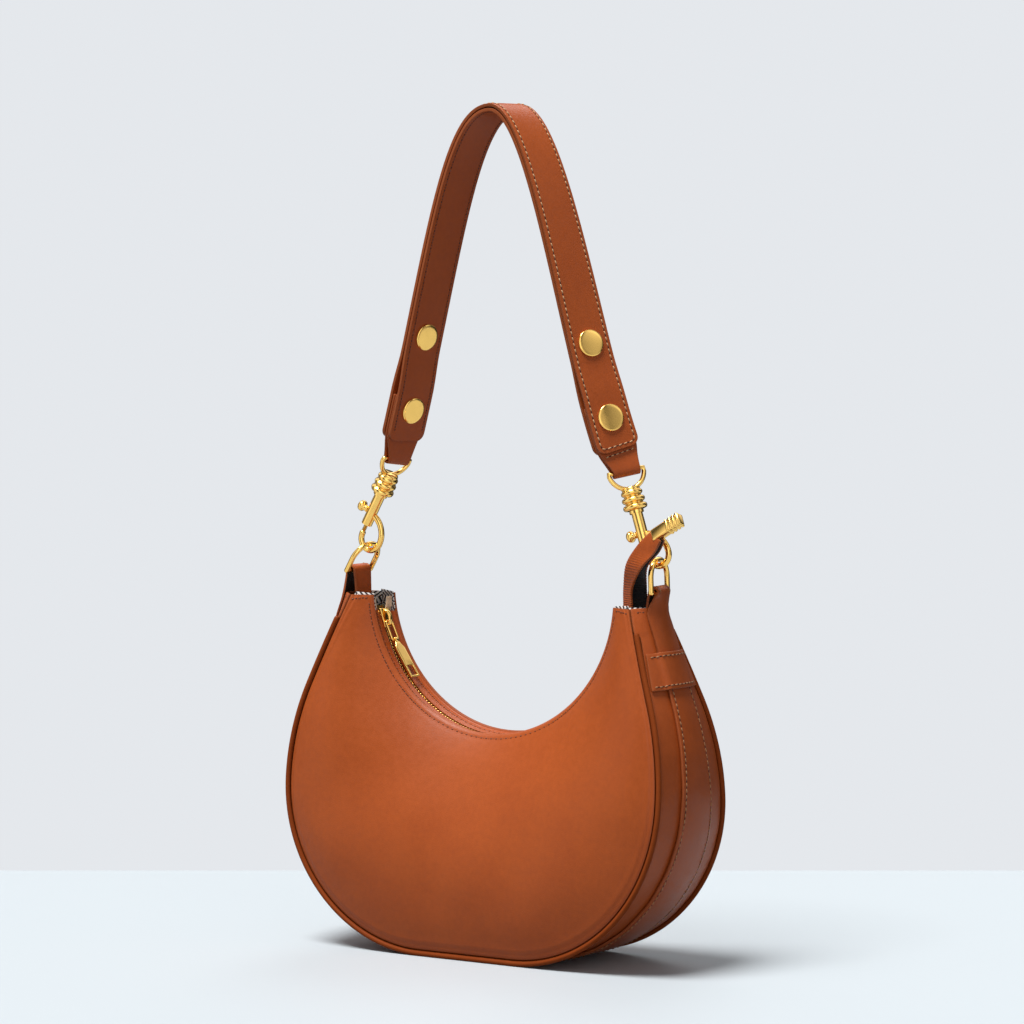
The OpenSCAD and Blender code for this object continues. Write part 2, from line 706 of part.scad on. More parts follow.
knob_d = 6;
knob_t = 3.4;
knob_out = 3.4;
piston_l = 5;
piston_z = knob_z - piston_l/2;
module trigger(side) {
    rod_low = hook_z + hook_d/2 + run_fit + run_gap;
    pin_d = slot_w - 2*run_gap;
    color("goldenrod") at_snap(side) {
        translate([0, 0, rod_low]) cylinder(d = rod_d, h = piston_z - rod_low + over);
        translate([0, 0, piston_z]) cylinder(d = bore_d - 2*run_fit, h = piston_l);
        translate([0, 0, knob_z]) rotate([0, -90, 0]) cylinder(d = pin_d, h = barrel_d/2 + knob_out);
        translate([-barrel_d/2 - 2*run_gap, 0, knob_z]) rotate([0, -90, 0])
            cylinder(d = knob_d/1.6, h = knob_out);
        translate([-barrel_d/2 - knob_out, 0, knob_z]) rotate([0, -90, 0]) cylinder(d = knob_d, h = knob_t);
    }
}

module left_trigger() {
    trigger(-1);
}

module right_trigger() {
    trigger(1);
}

module snap_spring(side) {
    low = piston_z + piston_l + run_gap;
    high = barrel_l - 2*run_gap;
    color("silver") at_snap(side) translate([0, 0, low]) difference() {
        cylinder(d = bore_d - 2*run_fit, h = high - low);
        translate([0, 0, -over]) cylinder(d = bore_d/2, h = high - low + 2*over);
    }
}

module left_snap_spring() {
    snap_spring(-1);
}

module right_snap_spring() {
    snap_spring(1);
}

// Strap: two cubic curves that meet at the top; the width turns with the strap's twist
left_pull = strap_rise*[2/11, -1/33, 5/9];
right_pull = strap_rise*[-7/66, -4/99, 8/33];
top_turn = -12.3;
top_left = 38.6;
top_right = 35.8;
left_twist = 75.3;
right_twist = 47.5;
twist_power = 0.7;
eye_z = head_z + head_l + 9;
strap_a = snap_p(-1) + eye_z*snap_up(-1);
strap_b = snap_p(1) + eye_z*snap_up(1);
strap_top = [strap_top_x, 0, min(strap_a[2], strap_b[2]) + strap_rise];
top_way = [cos(top_turn), sin(top_turn), 0];
left_curve = [strap_a, strap_a + left_pull, strap_top - top_way*top_left, strap_top];
right_curve = [strap_top, strap_top + top_way*top_right, strap_b + right_pull, strap_b];

function bezier(p, t) = p[0]*pow(1 - t, 3) + 3*p[1]*t*pow(1 - t, 2) + 3*p[2]*t*t*(1 - t) + p[3]*pow(t, 3);
function bezier_way(p, t) = unit(3*(p[1] - p[0])*pow(1 - t, 2) + 6*(p[2] - p[1])*t*(1 - t)
    + 3*(p[3] - p[2])*t*t);
// The strap's parameter runs from 0 at the left eye over 1 at the top to 2 at the right eye
function strap_p(t) = t < 1 ? bezier(left_curve, t) : bezier(right_curve, t - 1);
function strap_way(t) = t < 1 ? bezier_way(left_curve, t) : bezier_way(right_curve, t - 1);
function strap_twist(t) = t < 1 ? lerp(left_twist, top_turn + 90, t)
    : lerp(right_twist, top_turn + 90, pow(2 - t, twist_power));
function strap_side(t) = let (w = [cos(strap_twist(t)), sin(strap_twist(t)), 0], d = strap_way(t))
    unit(w - (w*d)*d);
function strap_face(t) = cross(strap_way(t), -strap_side(t));
// Parameter at a straight distance from an eye, found by halving
function strap_t(side, d, lo = 0, hi = 0.9, n = 12) = n == 0 ? (side < 0 ? lo : 2 - lo)
    : let (m = (lo + hi)/2, t = side < 0 ? m : 2 - m, e = side < 0 ? strap_a : strap_b)
    norm(strap_p(t) - e) < d ? strap_t(side, d, m, hi, n - 1) : strap_t(side, d, lo, m, n - 1);

// Half the gap between the plies, which opens near the ends to hold the folded tabs
tab_reach = 38;
tab_clear = 2;
ply_run = 25;
ply_open = strap_tab_t + glue_gap + run_gap;
function eye_dist(t) = min(norm(strap_p(t) - strap_a), norm(strap_p(t) - strap_b));
function half_gap(t) = lerp(ply_open, ply_gap/2, smooth((eye_dist(t) - tab_reach - tab_clear)/ply_run));
end_round = 5;
function ply_half(d) = strap_w/2 - end_round*(1 - sqrt(1 - pow(1 - clamp(d/end_round), 2)));

function strap_grid(face, off, ts, halves) = [for (i = [0:len(ts) - 1]) let (t = ts[i])
    [for (j = [-1, 1]) strap_p(t) + strap_side(t)*halves[i]*j + face*strap_face(t)*(half_gap(t) + off)]];

module ply(face) {
    ends = end_round*[0, 0.08, 0.3, 0.64, 1];
    first = [for (e = ends) strap_t(-1, strap_tab_bare + e)];
    last = [for (i = [4:-1:0]) strap_t(1, strap_tab_bare + ends[i])];
    mid = [for (i = [1:strap_steps - 1]) lerp(first[4], last[0], i/strap_steps)];
    ts = concat(first, mid, last);
    halves = concat([for (e = ends) ply_half(e)], [for (t = mid) strap_w/2],
        [for (i = [4:-1:0]) ply_half(ends[i])]);
    difference() {
        skin(strap_grid(face, 0, ts, halves), strap_grid(face, ply_t, ts, halves));
        for (side = [-1, 1]) for (d = [rivet_low, rivet_high]) at_rivet(side, d)
            cylinder(d = post_d + 2*run_fit, h = 8*ply_t, center = true);
    }
}

post_d = 3;
cap_t = 1.1;
cap_gap = 0.5;
module at_rivet(side, d) {
    t = strap_t(side, d);
    at_frame(strap_p(t), strap_way(t), -strap_side(t), strap_face(t)) children();
}

module rivets(side) {
    for (d = [rivet_low, rivet_high]) {
        reach = half_gap(strap_t(side, d)) + ply_t + cap_gap;
        color("gold") at_rivet(side, d) {
            cylinder(d = post_d, h = 2*reach + cap_t, center = true);
            for (z = [reach, -reach - cap_t]) translate([0, 0, z]) cylinder(d = rivet_cap_d, h = cap_t);
        }
    }
}

module left_rivets() {
    rivets(-1);
}

module right_rivets() {
    rivets(1);
}

module strap_outer() {
    color("peru") ply(-1);
}

module strap_inner() {
    color("sienna") ply(1);
}

// Direction of an eye's bar: the strap's width, square to the snap
function eye_way(side) = let (w = strap_side(side < 0 ? 0 : 2), up = snap_up(side)) unit(w - (w*up)*up);

// Strap tabs: folded round the eye's bar and held between the plies
fold_turns = [-90, -55, -20, 20, 55, 90];
tab_inset = 0.5;
tab_widen = 4;
tab_close = 14;
module strap_tab(side) {
    e = side < 0 ? strap_a : strap_b;
    across = eye_way(side);
    down = -snap_up(side);
    out = side*cross(across, down);
    dists = [tab_reach, 0.8*tab_reach, 0.58*tab_reach, strap_tab_bare, 0.42*strap_tab_bare];
    function half(d) = lerp(strap_tab_w/2, strap_w/2 - tab_inset, smooth(d/(strap_tab_bare + tab_widen)));
    function leg(face, off) = [for (d = dists) let (t = strap_t(side, d))
        [for (j = [-1, 1]) strap_p(t) + strap_side(t)*half(d)*j + face*strap_face(t)*(run_gap/2 + off)
            + face*strap_face(t)*lerp(eye_d/2 + bar_gap - run_gap/2, 0, smooth(d/tab_close))]];
    function fold(off) = let (r = eye_d/2 + bar_gap + off) [for (u = fold_turns)
        [for (j = [-1, 1]) e + across*strap_tab_w/2*j + r*(cos(u)*down - sin(u)*out)]];
    function back(rows) = [for (i = [len(rows) - 1:-1:0]) rows[i]];
    function sheet(off) = concat(leg(1, off), fold(off), back(leg(-1, off)));
    color("sienna") difference() {
        skin(sheet(strap_tab_t), sheet(0));
        at_rivet(side, rivet_low) cylinder(d = post_d + 2*run_fit, h = 8*ply_t, center = true);
    }
}

module left_strap_tab() {
    strap_tab(-1);
}

module right_strap_tab() {
    strap_tab(1);
}

// Swivel eyes: a straight bar in the strap tab, a round loop below it and the ribbed head
module swivel_eye(side) {
    up = snap_up(side);
    bar = eye_way(side);
    cavity_z = barrel_l + stem_l - flange_t - run_gap - head_z;
    color("gold") at_frame(snap_p(side) + head_z*up, bar, cross(up, bar), up) {
        difference() {
            union() {
                cylinder(d = head_d, h = head_l);
                for (i = [0:2]) translate([0, 0, head_l*(0.12 + 0.3*i)])
                    cylinder(d = head_d + 1, h = head_l/6);
            }
            translate([0, 0, -over]) cylinder(d = stem_d + 2*run_fit, h = cavity_z + 2*over);
            translate([0, 0, cavity_z]) cylinder(d = flange_d + 2*run_fit, h = flange_t + 3*run_gap);
        }
        translate([0, 0, eye_z - head_z]) rotate([0, 90, 0])
            cylinder(d = eye_d, h = eye_w, center = true);
        translate([0, 0, eye_z - head_z]) rotate([90, 0, 0]) rotate([0, 0, 180])
            rotate_extrude(angle = 180) translate([eye_w/2, 0]) circle(d = eye_d);
        for (x = [-1, 1]) translate([x*eye_w/2, 0, eye_z - head_z]) sphere(d = eye_d);
    }
}

module left_swivel_eye() {
    swivel_eye(-1);
}

module right_swivel_eye() {
    swivel_eye(1);
}

front_panel();
back_panel();
gusset();
gusset_band();
front_piping();
back_piping();
left_keeper();
right_keeper();
left_ring_tab();
right_ring_tab();
left_ring();
right_ring();
zip_facing_front();
zip_facing_back();
zip_tape_front();
zip_tape_back();
zip_teeth_front();
zip_teeth_back();
zip_stops();
zip_slider();
pull_link();
pull_tab();
zip_tail();
tail_cap();
front_lining();
back_lining();
side_lining();
base_board();
strap_outer();
strap_inner();
left_strap_tab();
right_strap_tab();
left_rivets();
right_rivets();
left_swivel_eye();
right_swivel_eye();
left_snap();
right_snap();
left_trigger();
right_trigger();
left_snap_spring();
right_snap_spring();
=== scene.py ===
"""Dresses the half moon shoulder bag: leather, piping, zip, lining, gilt metal and stitching."""
import json
import math

import bmesh
import bpy
from bpy.props import FloatProperty, FloatVectorProperty, PointerProperty
from mathutils import Matrix, Vector, noise

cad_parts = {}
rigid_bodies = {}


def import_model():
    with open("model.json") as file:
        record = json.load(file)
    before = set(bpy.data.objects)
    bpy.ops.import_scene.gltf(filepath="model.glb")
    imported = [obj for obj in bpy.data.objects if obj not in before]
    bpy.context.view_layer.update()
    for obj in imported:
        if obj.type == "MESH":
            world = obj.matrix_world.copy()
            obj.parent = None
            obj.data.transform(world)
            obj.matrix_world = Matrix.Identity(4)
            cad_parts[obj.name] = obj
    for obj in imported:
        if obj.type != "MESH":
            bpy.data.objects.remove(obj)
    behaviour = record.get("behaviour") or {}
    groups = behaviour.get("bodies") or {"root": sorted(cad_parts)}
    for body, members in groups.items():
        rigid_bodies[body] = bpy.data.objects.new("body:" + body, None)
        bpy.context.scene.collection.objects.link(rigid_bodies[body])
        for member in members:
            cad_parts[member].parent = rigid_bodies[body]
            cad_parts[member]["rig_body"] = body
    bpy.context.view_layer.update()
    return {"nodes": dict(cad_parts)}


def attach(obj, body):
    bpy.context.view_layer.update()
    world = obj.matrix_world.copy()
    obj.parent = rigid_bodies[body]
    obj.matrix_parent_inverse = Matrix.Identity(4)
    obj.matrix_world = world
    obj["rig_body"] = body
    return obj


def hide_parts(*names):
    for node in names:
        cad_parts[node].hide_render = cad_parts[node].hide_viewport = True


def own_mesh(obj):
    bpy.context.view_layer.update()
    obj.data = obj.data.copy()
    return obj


bl_info = {
    "name": "Half moon bag",
    "version": (1, 0, 0),
    "blender": (4, 5, 0),
    "location": "3D View > Sidebar > Bag",
    "description": "Leather, cloth, zip, stitching and gilt metal for a half moon shoulder bag",
    "category": "Object",
}

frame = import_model()

MM = 0.001
UP = Vector((0, 0, 1))
MIDDLE = Vector((0, 0, 110))
SIDES = (("left", -1), ("right", 1))
FACES = (("front", -1), ("back", 1))


def colour(name, words, value):
    return FloatVectorProperty(name=name, description=words, subtype="COLOR", size=3, min=0, max=1, default=value)


def length(name, words, value):
    return FloatProperty(name=name, description=words, subtype="DISTANCE", unit="LENGTH", min=0.0001, default=value)


class BagColours(bpy.types.PropertyGroup):
    """Colours of the bag's materials"""
    leather: colour("Leather", "Panels, gusset and strap", (0.47, 0.094, 0.0175))
    leather_deep: colour("Leather in the folds", "The darker tone in the leather's mottling", (0.34, 0.06, 0.011))
    edge: colour("Leather edge", "Painted edges of the leather", (0.36, 0.09, 0.025))
    thread_light: colour("Light thread", "Topstitching on the strap", (0.90, 0.56, 0.29))
    thread_brown: colour("Brown thread", "Stitching round the mouth and zip", (0.28, 0.065, 0.018))
    thread_tan: colour("Tan thread", "Stitching on the gusset band, keepers and ring tabs", (0.58, 0.29, 0.13))
    gold: colour("Gilt metal", "Rings, snaps, rivets and zip", (1.0, 0.61, 0.16))
    cream: colour("Zip tape", "Cloth of the zip's tape", (0.85, 0.62, 0.42))
    ink: colour("Lining dark", "Dark yarn of the lining", (0.016, 0.014, 0.017))
    chalk: colour("Lining light", "Light yarn of the lining", (0.82, 0.77, 0.73))


class BagSizes(bpy.types.PropertyGroup):
    """Sizes of the bag's details"""
    stitch: length("Stitch", "Length of a stitch", 0.0021)
    pitch: length("Stitch pitch", "Distance from one stitch to the next", 0.0033)
    thread: length("Thread", "Thickness of the thread", 0.0008)
    round: length("Edge rounding", "Rounding of a leather edge", 0.0006)
    grain: length("Grain", "Size of the leather's pores", 0.0008)


def colours():
    return bpy.context.scene.bag_colours


def sizes():
    return bpy.context.scene.bag_sizes


# Shape of the bag in millimetres, as the frame has it
BAG_W, BOTTOM_FLAT, TIP_RISE, SIDE_R, SIDE_LEAN = 242, 62, 193, 148, math.radians(20.5)
BOTTOM_DEPTH, TIP_DEPTH, DEPTH_POWER, BULGE, SIDE_BULGE, TIP_BULGE = 74, 30, 2.5, 4, 4, 10
LEATHER, PIPING_R, SEAM_Z, GUSSET_OFF, BAND_OFF, BAND_T = 1.8, 1.5, 3.85, 1.95, 2.25, 1.6
MOUTH_W, MOUTH_DROP, MOUTH_GAP = 160, 73.5, 22
THIN_LEATHER = LEATHER - 0.3
CORNER_R = (BAG_W - BOTTOM_FLAT)/2
SEAM_1 = BOTTOM_FLAT/2
SEAM_2 = SEAM_1 + CORNER_R*math.pi/2
SEAM_3 = SEAM_2 + SIDE_R*SIDE_LEAN
SEAM_END = SEAM_3 + (TIP_RISE - CORNER_R - SIDE_R*math.sin(SIDE_LEAN))/math.cos(SIDE_LEAN)
TIP_X = BAG_W/2 - SIDE_R*(1 - math.cos(SIDE_LEAN)) - (SEAM_END - SEAM_3)*math.sin(SIDE_LEAN)
TIP_Z = SEAM_Z + TIP_RISE
MOUTH_R = (MOUTH_W*MOUTH_W/4 + MOUTH_DROP*MOUTH_DROP)/(2*MOUTH_DROP)
MOUTH_Z = TIP_Z - MOUTH_DROP + MOUTH_R
MOUTH_TURN = math.pi/2 - math.asin((MOUTH_Z - TIP_Z)/MOUTH_R)
BAND_END = SEAM_END - 36.8


def lerp(a, b, t):
    return a + (b - a)*t


def clamp(t):
    return min(1, max(0, t))


def smooth(t):
    t = clamp(t)
    return t*t*(3 - 2*t)


def bell(t):
    return math.exp(-t*t)


def spread(count, low=0.0, high=1.0):
    return [lerp(low, high, i/count) for i in range(count + 1)]


def crowded(count, low, high, share=0.6):
    """Stations from low to high that crowd towards both ends"""
    return [lerp(low, high, t - share*math.sin(2*math.pi*t)/(2*math.pi)) for t in spread(count)]


def seam_turn(s):
    if s < SEAM_1:
        return 0
    if s < SEAM_2:
        return (s - SEAM_1)/CORNER_R
    return math.pi/2 + min((s - SEAM_2)/SIDE_R, SIDE_LEAN)


def seam_point(s):
    a = seam_turn(s)
    if s < SEAM_1:
        return s, 0
    if s < SEAM_2:
        return SEAM_1 + CORNER_R*math.sin(a), CORNER_R*(1 - math.cos(a))
    if s < SEAM_3:
        return BAG_W/2 - SIDE_R + SIDE_R*math.sin(a), CORNER_R - SIDE_R*math.cos(a)
    return TIP_X + (SEAM_END - s)*math.sin(SIDE_LEAN), TIP_RISE - (SEAM_END - s)*math.cos(SIDE_LEAN)


def half_depth(s):
    return BOTTOM_DEPTH/2 - (BOTTOM_DEPTH - TIP_DEPTH)/2*(seam_point(s)[1]/TIP_RISE)**DEPTH_POWER


def swell(s):
    return (SIDE_BULGE*smooth((s - SEAM_1)/(SEAM_2 - SEAM_1))
            + (TIP_BULGE - SIDE_BULGE)*clamp((s - SEAM_2)/(SEAM_END - SEAM_2))**3)


def near_tip(s, start, reach):
    """Rises from 0 to 1 along a reach that starts at a distance from the tip"""
    return smooth((abs(s) - SEAM_END + start)/reach)


def wall(s, y, off):
    """A point of the gusset's wall at a signed distance along the seam"""
    q = abs(s)
    a, (x, z) = seam_turn(q), seam_point(q)
    reach = x + off*math.sin(a) + swell(q)*math.cos(math.pi/2*y/half_depth(q))
    return Vector((math.copysign(reach, s), y, SEAM_Z + z - off*math.cos(a)))


def ripple(s, y):
    """Soft cross folds where the gusset turns the corners"""
    fold = smooth((abs(s) - 40)/40)*smooth((230 - abs(s))/60)
    return 0.16*fold*math.sin(abs(s)/3.4 + 0.8*math.sin(y/7)) + 0.2*noise.noise(Vector((s/23, y/17, 3)))


def mouth_point(f, r):
    a = MOUTH_TURN*abs(f)
    return math.copysign(r*math.sin(a), f), MOUTH_Z - r*math.cos(a)


def panel(face, f, v, r=MOUTH_R, off=0.0):
    q = abs(f)*SEAM_END
    mx, mz = mouth_point(f, r)
    x, z = seam_point(q)
    y = lerp(MOUTH_GAP/2, half_depth(q), v) + BULGE*4*v*(1 - v)*(1 - abs(f)**4)
    return Vector((lerp(mx, math.copysign(x, f), v), face*(y - off), lerp(mz, SEAM_Z + z, v)))


def panel_span(f):
    return (panel(1, f, 0) - panel(1, f, 1)).length


def panel_skin(face, f, v):
    """The panel's good side, rolled in at its edges, with the pressed ridge inside the piping"""
    span = panel_span(f)
    low, high = (1 - v)*span, v*span
    ridge = 0.55*bell((low - 4.8)/1.2) - 0.35*bell((low - 2.9)/0.9) - 0.55*smooth(1 - low/1.6)
    rim = -0.45*smooth(1 - high/1.2) + 0.12*bell((high - 1.6)/0.8) - 0.22*bell((high - 2.7)/0.6)
    base = panel(face, f, v)
    full = 0.37*span*v*(1 - v)*(1 - abs(f)**4)
    soft = 0.9*noise.noise(base/38 + Vector((0, 7*face, 0)))*smooth(low/30)*smooth(high/30)
    return base + Vector((0, face*(0.5*ridge + rim + soft + full), 0))


def running(points):
    """Distances along a line of points"""
    out = [0.0]
    for a, b in zip(points, points[1:]):
        out.append(out[-1] + (b - a).length)
    return out


def softened(line):
    """A line of points, softened with both ends kept"""
    return [line[0], *((a + 2*b + c)/4 for a, b, c in zip(line, line[1:], line[2:])), line[-1]]


def eased(rows):
    """Rows of points softened twice along the piece"""
    return list(zip(*(softened(softened(column)) for column in zip(*rows))))


def through(knots, t):
    """A smooth curve through a list of vectors, t from 0 to 1"""
    u = clamp(t)*(len(knots) - 1)
    i = min(int(u), len(knots) - 2)
    u -= i
    a, b = knots[i], knots[i + 1]
    before = knots[i - 1] if i else a*2 - b
    after = knots[i + 2] if i + 2 < len(knots) else b*2 - a
    return 0.5*(2*a + (b - before)*u + (2*before - 5*a + 4*b - after)*u*u + (3*a - before - 3*b + after)*u**3)


# Making pieces
def add_object(name, data):
    made = bpy.data.objects.new(name, data)
    bpy.context.scene.collection.objects.link(made)
    return made


def place(name, bm, finishes, node=None, body="bag", slot=None):
    """Makes a piece that stands for one of the frame's nodes or rides on a body"""
    mesh = bpy.data.meshes.new(name)
    bm.to_mesh(mesh)
    bm.free()
    for finish in finishes:
        mesh.materials.append(material(finish))
    mesh.shade_smooth()
    piece = add_object(name, mesh)
    if node:
        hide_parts(node)
        body = frame["nodes"][node]["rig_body"]
    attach(piece, body)
    return piece


def cells(bm, n, m):
    """Adds a grid of n by m points and gives each vertex's row and column"""
    bmesh.ops.create_grid(bm, x_segments=n - 1, y_segments=m - 1, size=0.5)
    return {v: (round((v.co.x + 0.5)*(n - 1)), round((v.co.y + 0.5)*(m - 1))) for v in bm.verts}


def set_uv(bm, uv, spots):
    for face in bm.faces:
        for loop in face.loops:
            loop[uv].uv = spots[loop.vert]


def grid(rows, outward):
    """A bmesh sheet through rows of points, with its good side towards outward"""
    n, m = len(rows), len(rows[0])
    along = running([row[m//2] for row in rows])
    across = [running(row) for row in rows]
    bm = bmesh.new()
    uv = bm.loops.layers.uv.new("UVMap")
    edge = bm.verts.layers.float.new("edge")
    cell = cells(bm, n, m)
    for v, (i, j) in cell.items():
        v.co = rows[i][j]*MM
        v[edge] = MM*min(along[i], along[-1] - along[i], across[i][j], across[i][-1] - across[i][j])
    set_uv(bm, uv, {v: (along[i]*MM, across[i][j]*MM) for v, (i, j) in cell.items()})
    bm.normal_update()
    centre = next(v for v, ij in cell.items() if ij == (n//2, m//2))
    if centre.link_faces[0].normal.dot(outward) < 0:
        bmesh.ops.reverse_faces(bm, faces=bm.faces[:])
    return bm


def sheet(name, rows, thick, outward, finishes, round_share=1.0, **where):
    """A leather or cloth sheet with a wall, rounded rims and its rows on the good side"""
    piece = place(name, grid(rows, outward), finishes, **where)
    wall_mod = piece.modifiers.new("Thickness", "SOLIDIFY")
    wall_mod.thickness = thick*MM
    wall_mod.offset = -1
    if len(finishes) > 1:
        wall_mod.material_offset_rim = 1
    if len(finishes) > 2:
        wall_mod.material_offset = 2
    if round_share:
        bevel = piece.modifiers.new("Rounding", "BEVEL")
        bevel.width = min(sizes().round, 0.4*thick*MM)*round_share
        bevel.segments = 3
        bevel.limit_method = "ANGLE"
        bevel.angle_limit = math.radians(50)
    return piece


def join(parts):
    """One bmesh of several"""
    bm = bmesh.new()
    for part in parts:
        mesh = bpy.data.meshes.new("part")
        part.to_mesh(mesh)
        part.free()
        bm.from_mesh(mesh)
        bpy.data.meshes.remove(mesh)
    return bm


def leather_sheet(node, rows, thick, outward, name=None, more=(), **how):
    """A leather sheet with painted edges that replaces a node; more adds a finish for its back"""
    return sheet(name or node + "_leather", rows, thick, outward, ["tan_leather", "leather_edge", *more], node=node,
                 slot="body_leather", **how)


def gilt_part(node, parts, finish="gilt", name=None):
    """A metal piece of one or more bmeshes that replaces a node"""
    return place(name or node + "_gilt", join(parts), [finish], node=node, slot="gold_metal")


def axes(origin, x, y, z):
    """A matrix in metres from an origin in millimetres and three axes"""
    m = Matrix((x, y, z)).transposed().to_4x4()
    m.translation = origin*MM
    return m


def block(size, centre, rounding, where=Matrix(), taper=1.0):
    """A rounded block in millimetres; taper narrows its far end"""
    bm = bmesh.new()
    bmesh.ops.create_cube(bm, size=1)
    for v in bm.verts:
        narrow = taper if v.co.x > 0 else 1
        v.co = Vector((v.co.x*size[0], v.co.y*size[1]*narrow, v.co.z*size[2])) + Vector(centre)
    bmesh.ops.bevel(bm, geom=bm.edges[:], offset=rounding, segments=3, profile=0.5, affect="EDGES", material=-1)
    bmesh.ops.scale(bm, vec=(MM, MM, MM), verts=bm.verts[:])
    bmesh.ops.transform(bm, matrix=where, verts=bm.verts[:])
    return bm


def lathe(profile, where=Matrix(), steps=40):
    """A turned piece from (radius, height) pairs in millimetres about the local Z"""
    bm = bmesh.new()
    verts = [bm.verts.new((r*MM, 0, z*MM)) for r, z in profile]
    edges = [bm.edges.new(pair) for pair in zip(verts, verts[1:])]
    bmesh.ops.spin(bm, geom=verts + edges, cent=(0, 0, 0), axis=(0, 0, 1), angle=2*math.pi, steps=steps,
                   use_merge=True)
    bmesh.ops.remove_doubles(bm, verts=bm.verts[:], dist=1e-6)
    bmesh.ops.recalc_face_normals(bm, faces=bm.faces[:])
    bmesh.ops.transform(bm, matrix=where, verts=bm.verts[:])
    return bm


def circle(r, degrees, lift=0.0):
    a = math.radians(degrees)
    return Vector((r*math.cos(a), r*math.sin(a), lift))


def tube(path, radius, sides=12, closed=False, round_ends=False, where=Matrix()):
    """A tube along points in millimetres"""
    count = len(path)
    rows, normal = [], None
    for i, p in enumerate(path):
        ahead = path[(i + 1) % count] if closed or i + 1 < count else p
        behind = path[i - 1] if closed or i else p
        way = (ahead - behind).normalized()
        normal = way.orthogonal() if normal is None else normal
        normal = (normal - normal.dot(way)*way).normalized()
        rows.append((p, way, normal, way.cross(normal), radius))
    if round_ends:
        def cap(row, sign, degrees):
            a = math.radians(degrees)
            return (row[0] + sign*row[1]*radius*math.cos(a), *row[1:4], radius*max(0.02, math.sin(a)))

        turns = [0, 25, 50, 75]
        rows = [cap(rows[0], -1, a) for a in turns] + rows + [cap(rows[-1], 1, a) for a in reversed(turns)]
    if closed:
        rows.append(rows[0])
    bm = bmesh.new()
    uv = bm.loops.layers.uv.new("UVMap")
    along = running([row[0] for row in rows])
    cell = cells(bm, len(rows), sides + 1)
    for v, (i, j) in cell.items():
        p, way, normal, across, r = rows[i]
        a = 2*math.pi*(j % sides)/sides
        v.co = (p + r*(math.cos(a)*normal + math.sin(a)*across))*MM
    set_uv(bm, uv, {v: (along[i]*MM, j/sides) for v, (i, j) in cell.items()})
    bmesh.ops.remove_doubles(bm, verts=bm.verts[:], dist=2e-6)
    if not closed:
        bmesh.ops.holes_fill(bm, edges=[e for e in bm.edges if e.is_boundary], sides=0)
    bmesh.ops.recalc_face_normals(bm, faces=bm.faces[:])
    bmesh.ops.transform(bm, matrix=where, verts=bm.verts[:])
    return bm


STITCH_SLANT, MOUTH_FILL = 0.16, 0.72


def stitches(name, lines, finish, body="bag", share=1.0, fill=1.0):
    """Rows of stitches with a flat dark mark of painted shade in each needle hole between them; each line is a list of
    (point, outward normal) in millimetres

    share scales the stitch and its pitch, and fill the stitch alone."""
    thick, stitch, pitch = sizes().thread/MM, sizes().stitch/MM*share*fill, sizes().pitch/MM*share
    unit = bmesh.new()
    bmesh.ops.create_uvsphere(unit, u_segments=6, v_segments=4, radius=1)
    shape = bpy.data.meshes.new("stitch")
    unit.to_mesh(shape)
    unit.free()
    bm = bmesh.new()
    for line in lines:
        run = running([p for p, _ in line])
        count = max(1, int(run[-1]/pitch))
        step = run[-1]/count
        k = 0
        for i in range(count):
            for hole, s in ((False, (i + 0.5)*step), (True, (i + 1)*step)):
                if hole and i == count - 1:
                    continue
                while k < len(run) - 2 and run[k + 1] < s:
                    k += 1
                t = (s - run[k])/max(run[k + 1] - run[k], 1e-6)
                p = line[k][0].lerp(line[k + 1][0], t)
                up = line[k][1].lerp(line[k + 1][1], t).normalized()
                way = (line[k + 1][0] - line[k][0]).normalized()
                side = up.cross(way).normalized()
                way = side.cross(up)
                # A hole mark is a flat dark disc on the leather: painted shade of the needle hole
                if hole:
                    scale = Matrix.Diagonal((thick*0.5, thick*0.12, min(0.7, (step - stitch)*0.55), 1))
                    turn = axes(p + up*0.03, side, up, way)
                else:
                    way = (way + STITCH_SLANT*side).normalized()
                    side = way.cross(up)
                    scale = Matrix.Diagonal((thick/2, thick*0.42, stitch/2, 1))
                    turn = axes(p + up*thick*0.16, side, up, way)
                first = len(bm.faces)
                bm.from_mesh(shape)
                bm.verts.ensure_lookup_table()
                bm.faces.ensure_lookup_table()
                new = bm.verts[-len(shape.vertices):]
                scale = Matrix.Scale(MM, 4) @ scale
                bmesh.ops.transform(bm, matrix=turn @ scale, verts=new)
                if hole:
                    for face in bm.faces[first:]:
                        face.material_index = 1
    bpy.data.meshes.remove(shape)
    return place(name, bm, [finish, "needle_hole_shade"], body=body)


def rail(surface, stations, outward):
    """A line of (point, normal) along surface(s, k) at k = 0; k is a small sideways step"""
    line = []
    for s in stations:
        p = surface(s, 0)
        ahead = surface(s + 1e-3, 0) - p
        if ahead.length < 1e-7:
            ahead = p - surface(s - 1e-3, 0)
        normal = ahead.cross(surface(s, 0.05) - p).normalized()
        if normal.dot(outward(p)) < 0:
            normal = -normal
        line.append((p, normal))
    return line


# Materials
def feed(tree, target, inputs):
    """Links or sets a node's inputs"""
    for key, value in inputs.items():
        if isinstance(value, bpy.types.NodeSocket):
            tree.links.new(value, target.inputs[key])
        else:
            target.inputs[key].default_value = value


def node(tree, kind, inputs=None, **settings):
    new = tree.nodes.new("ShaderNode" + kind)
    for key, value in settings.items():
        setattr(new, key, value)
    feed(tree, new, inputs or {})
    return new


def sum_of(tree, kind, a, b=0.5, c=0.5):
    return node(tree, "Math", {0: a, 1: b, 2: c}, operation=kind).outputs[0]


def mixed(tree, factor, a, b, blend="MIX"):
    a, b = ((*v, 1) if not isinstance(v, bpy.types.NodeSocket) else v for v in (a, b))
    return node(tree, "Mix", {0: factor, 6: a, 7: b}, data_type="RGBA", blend_type=blend).outputs[2]


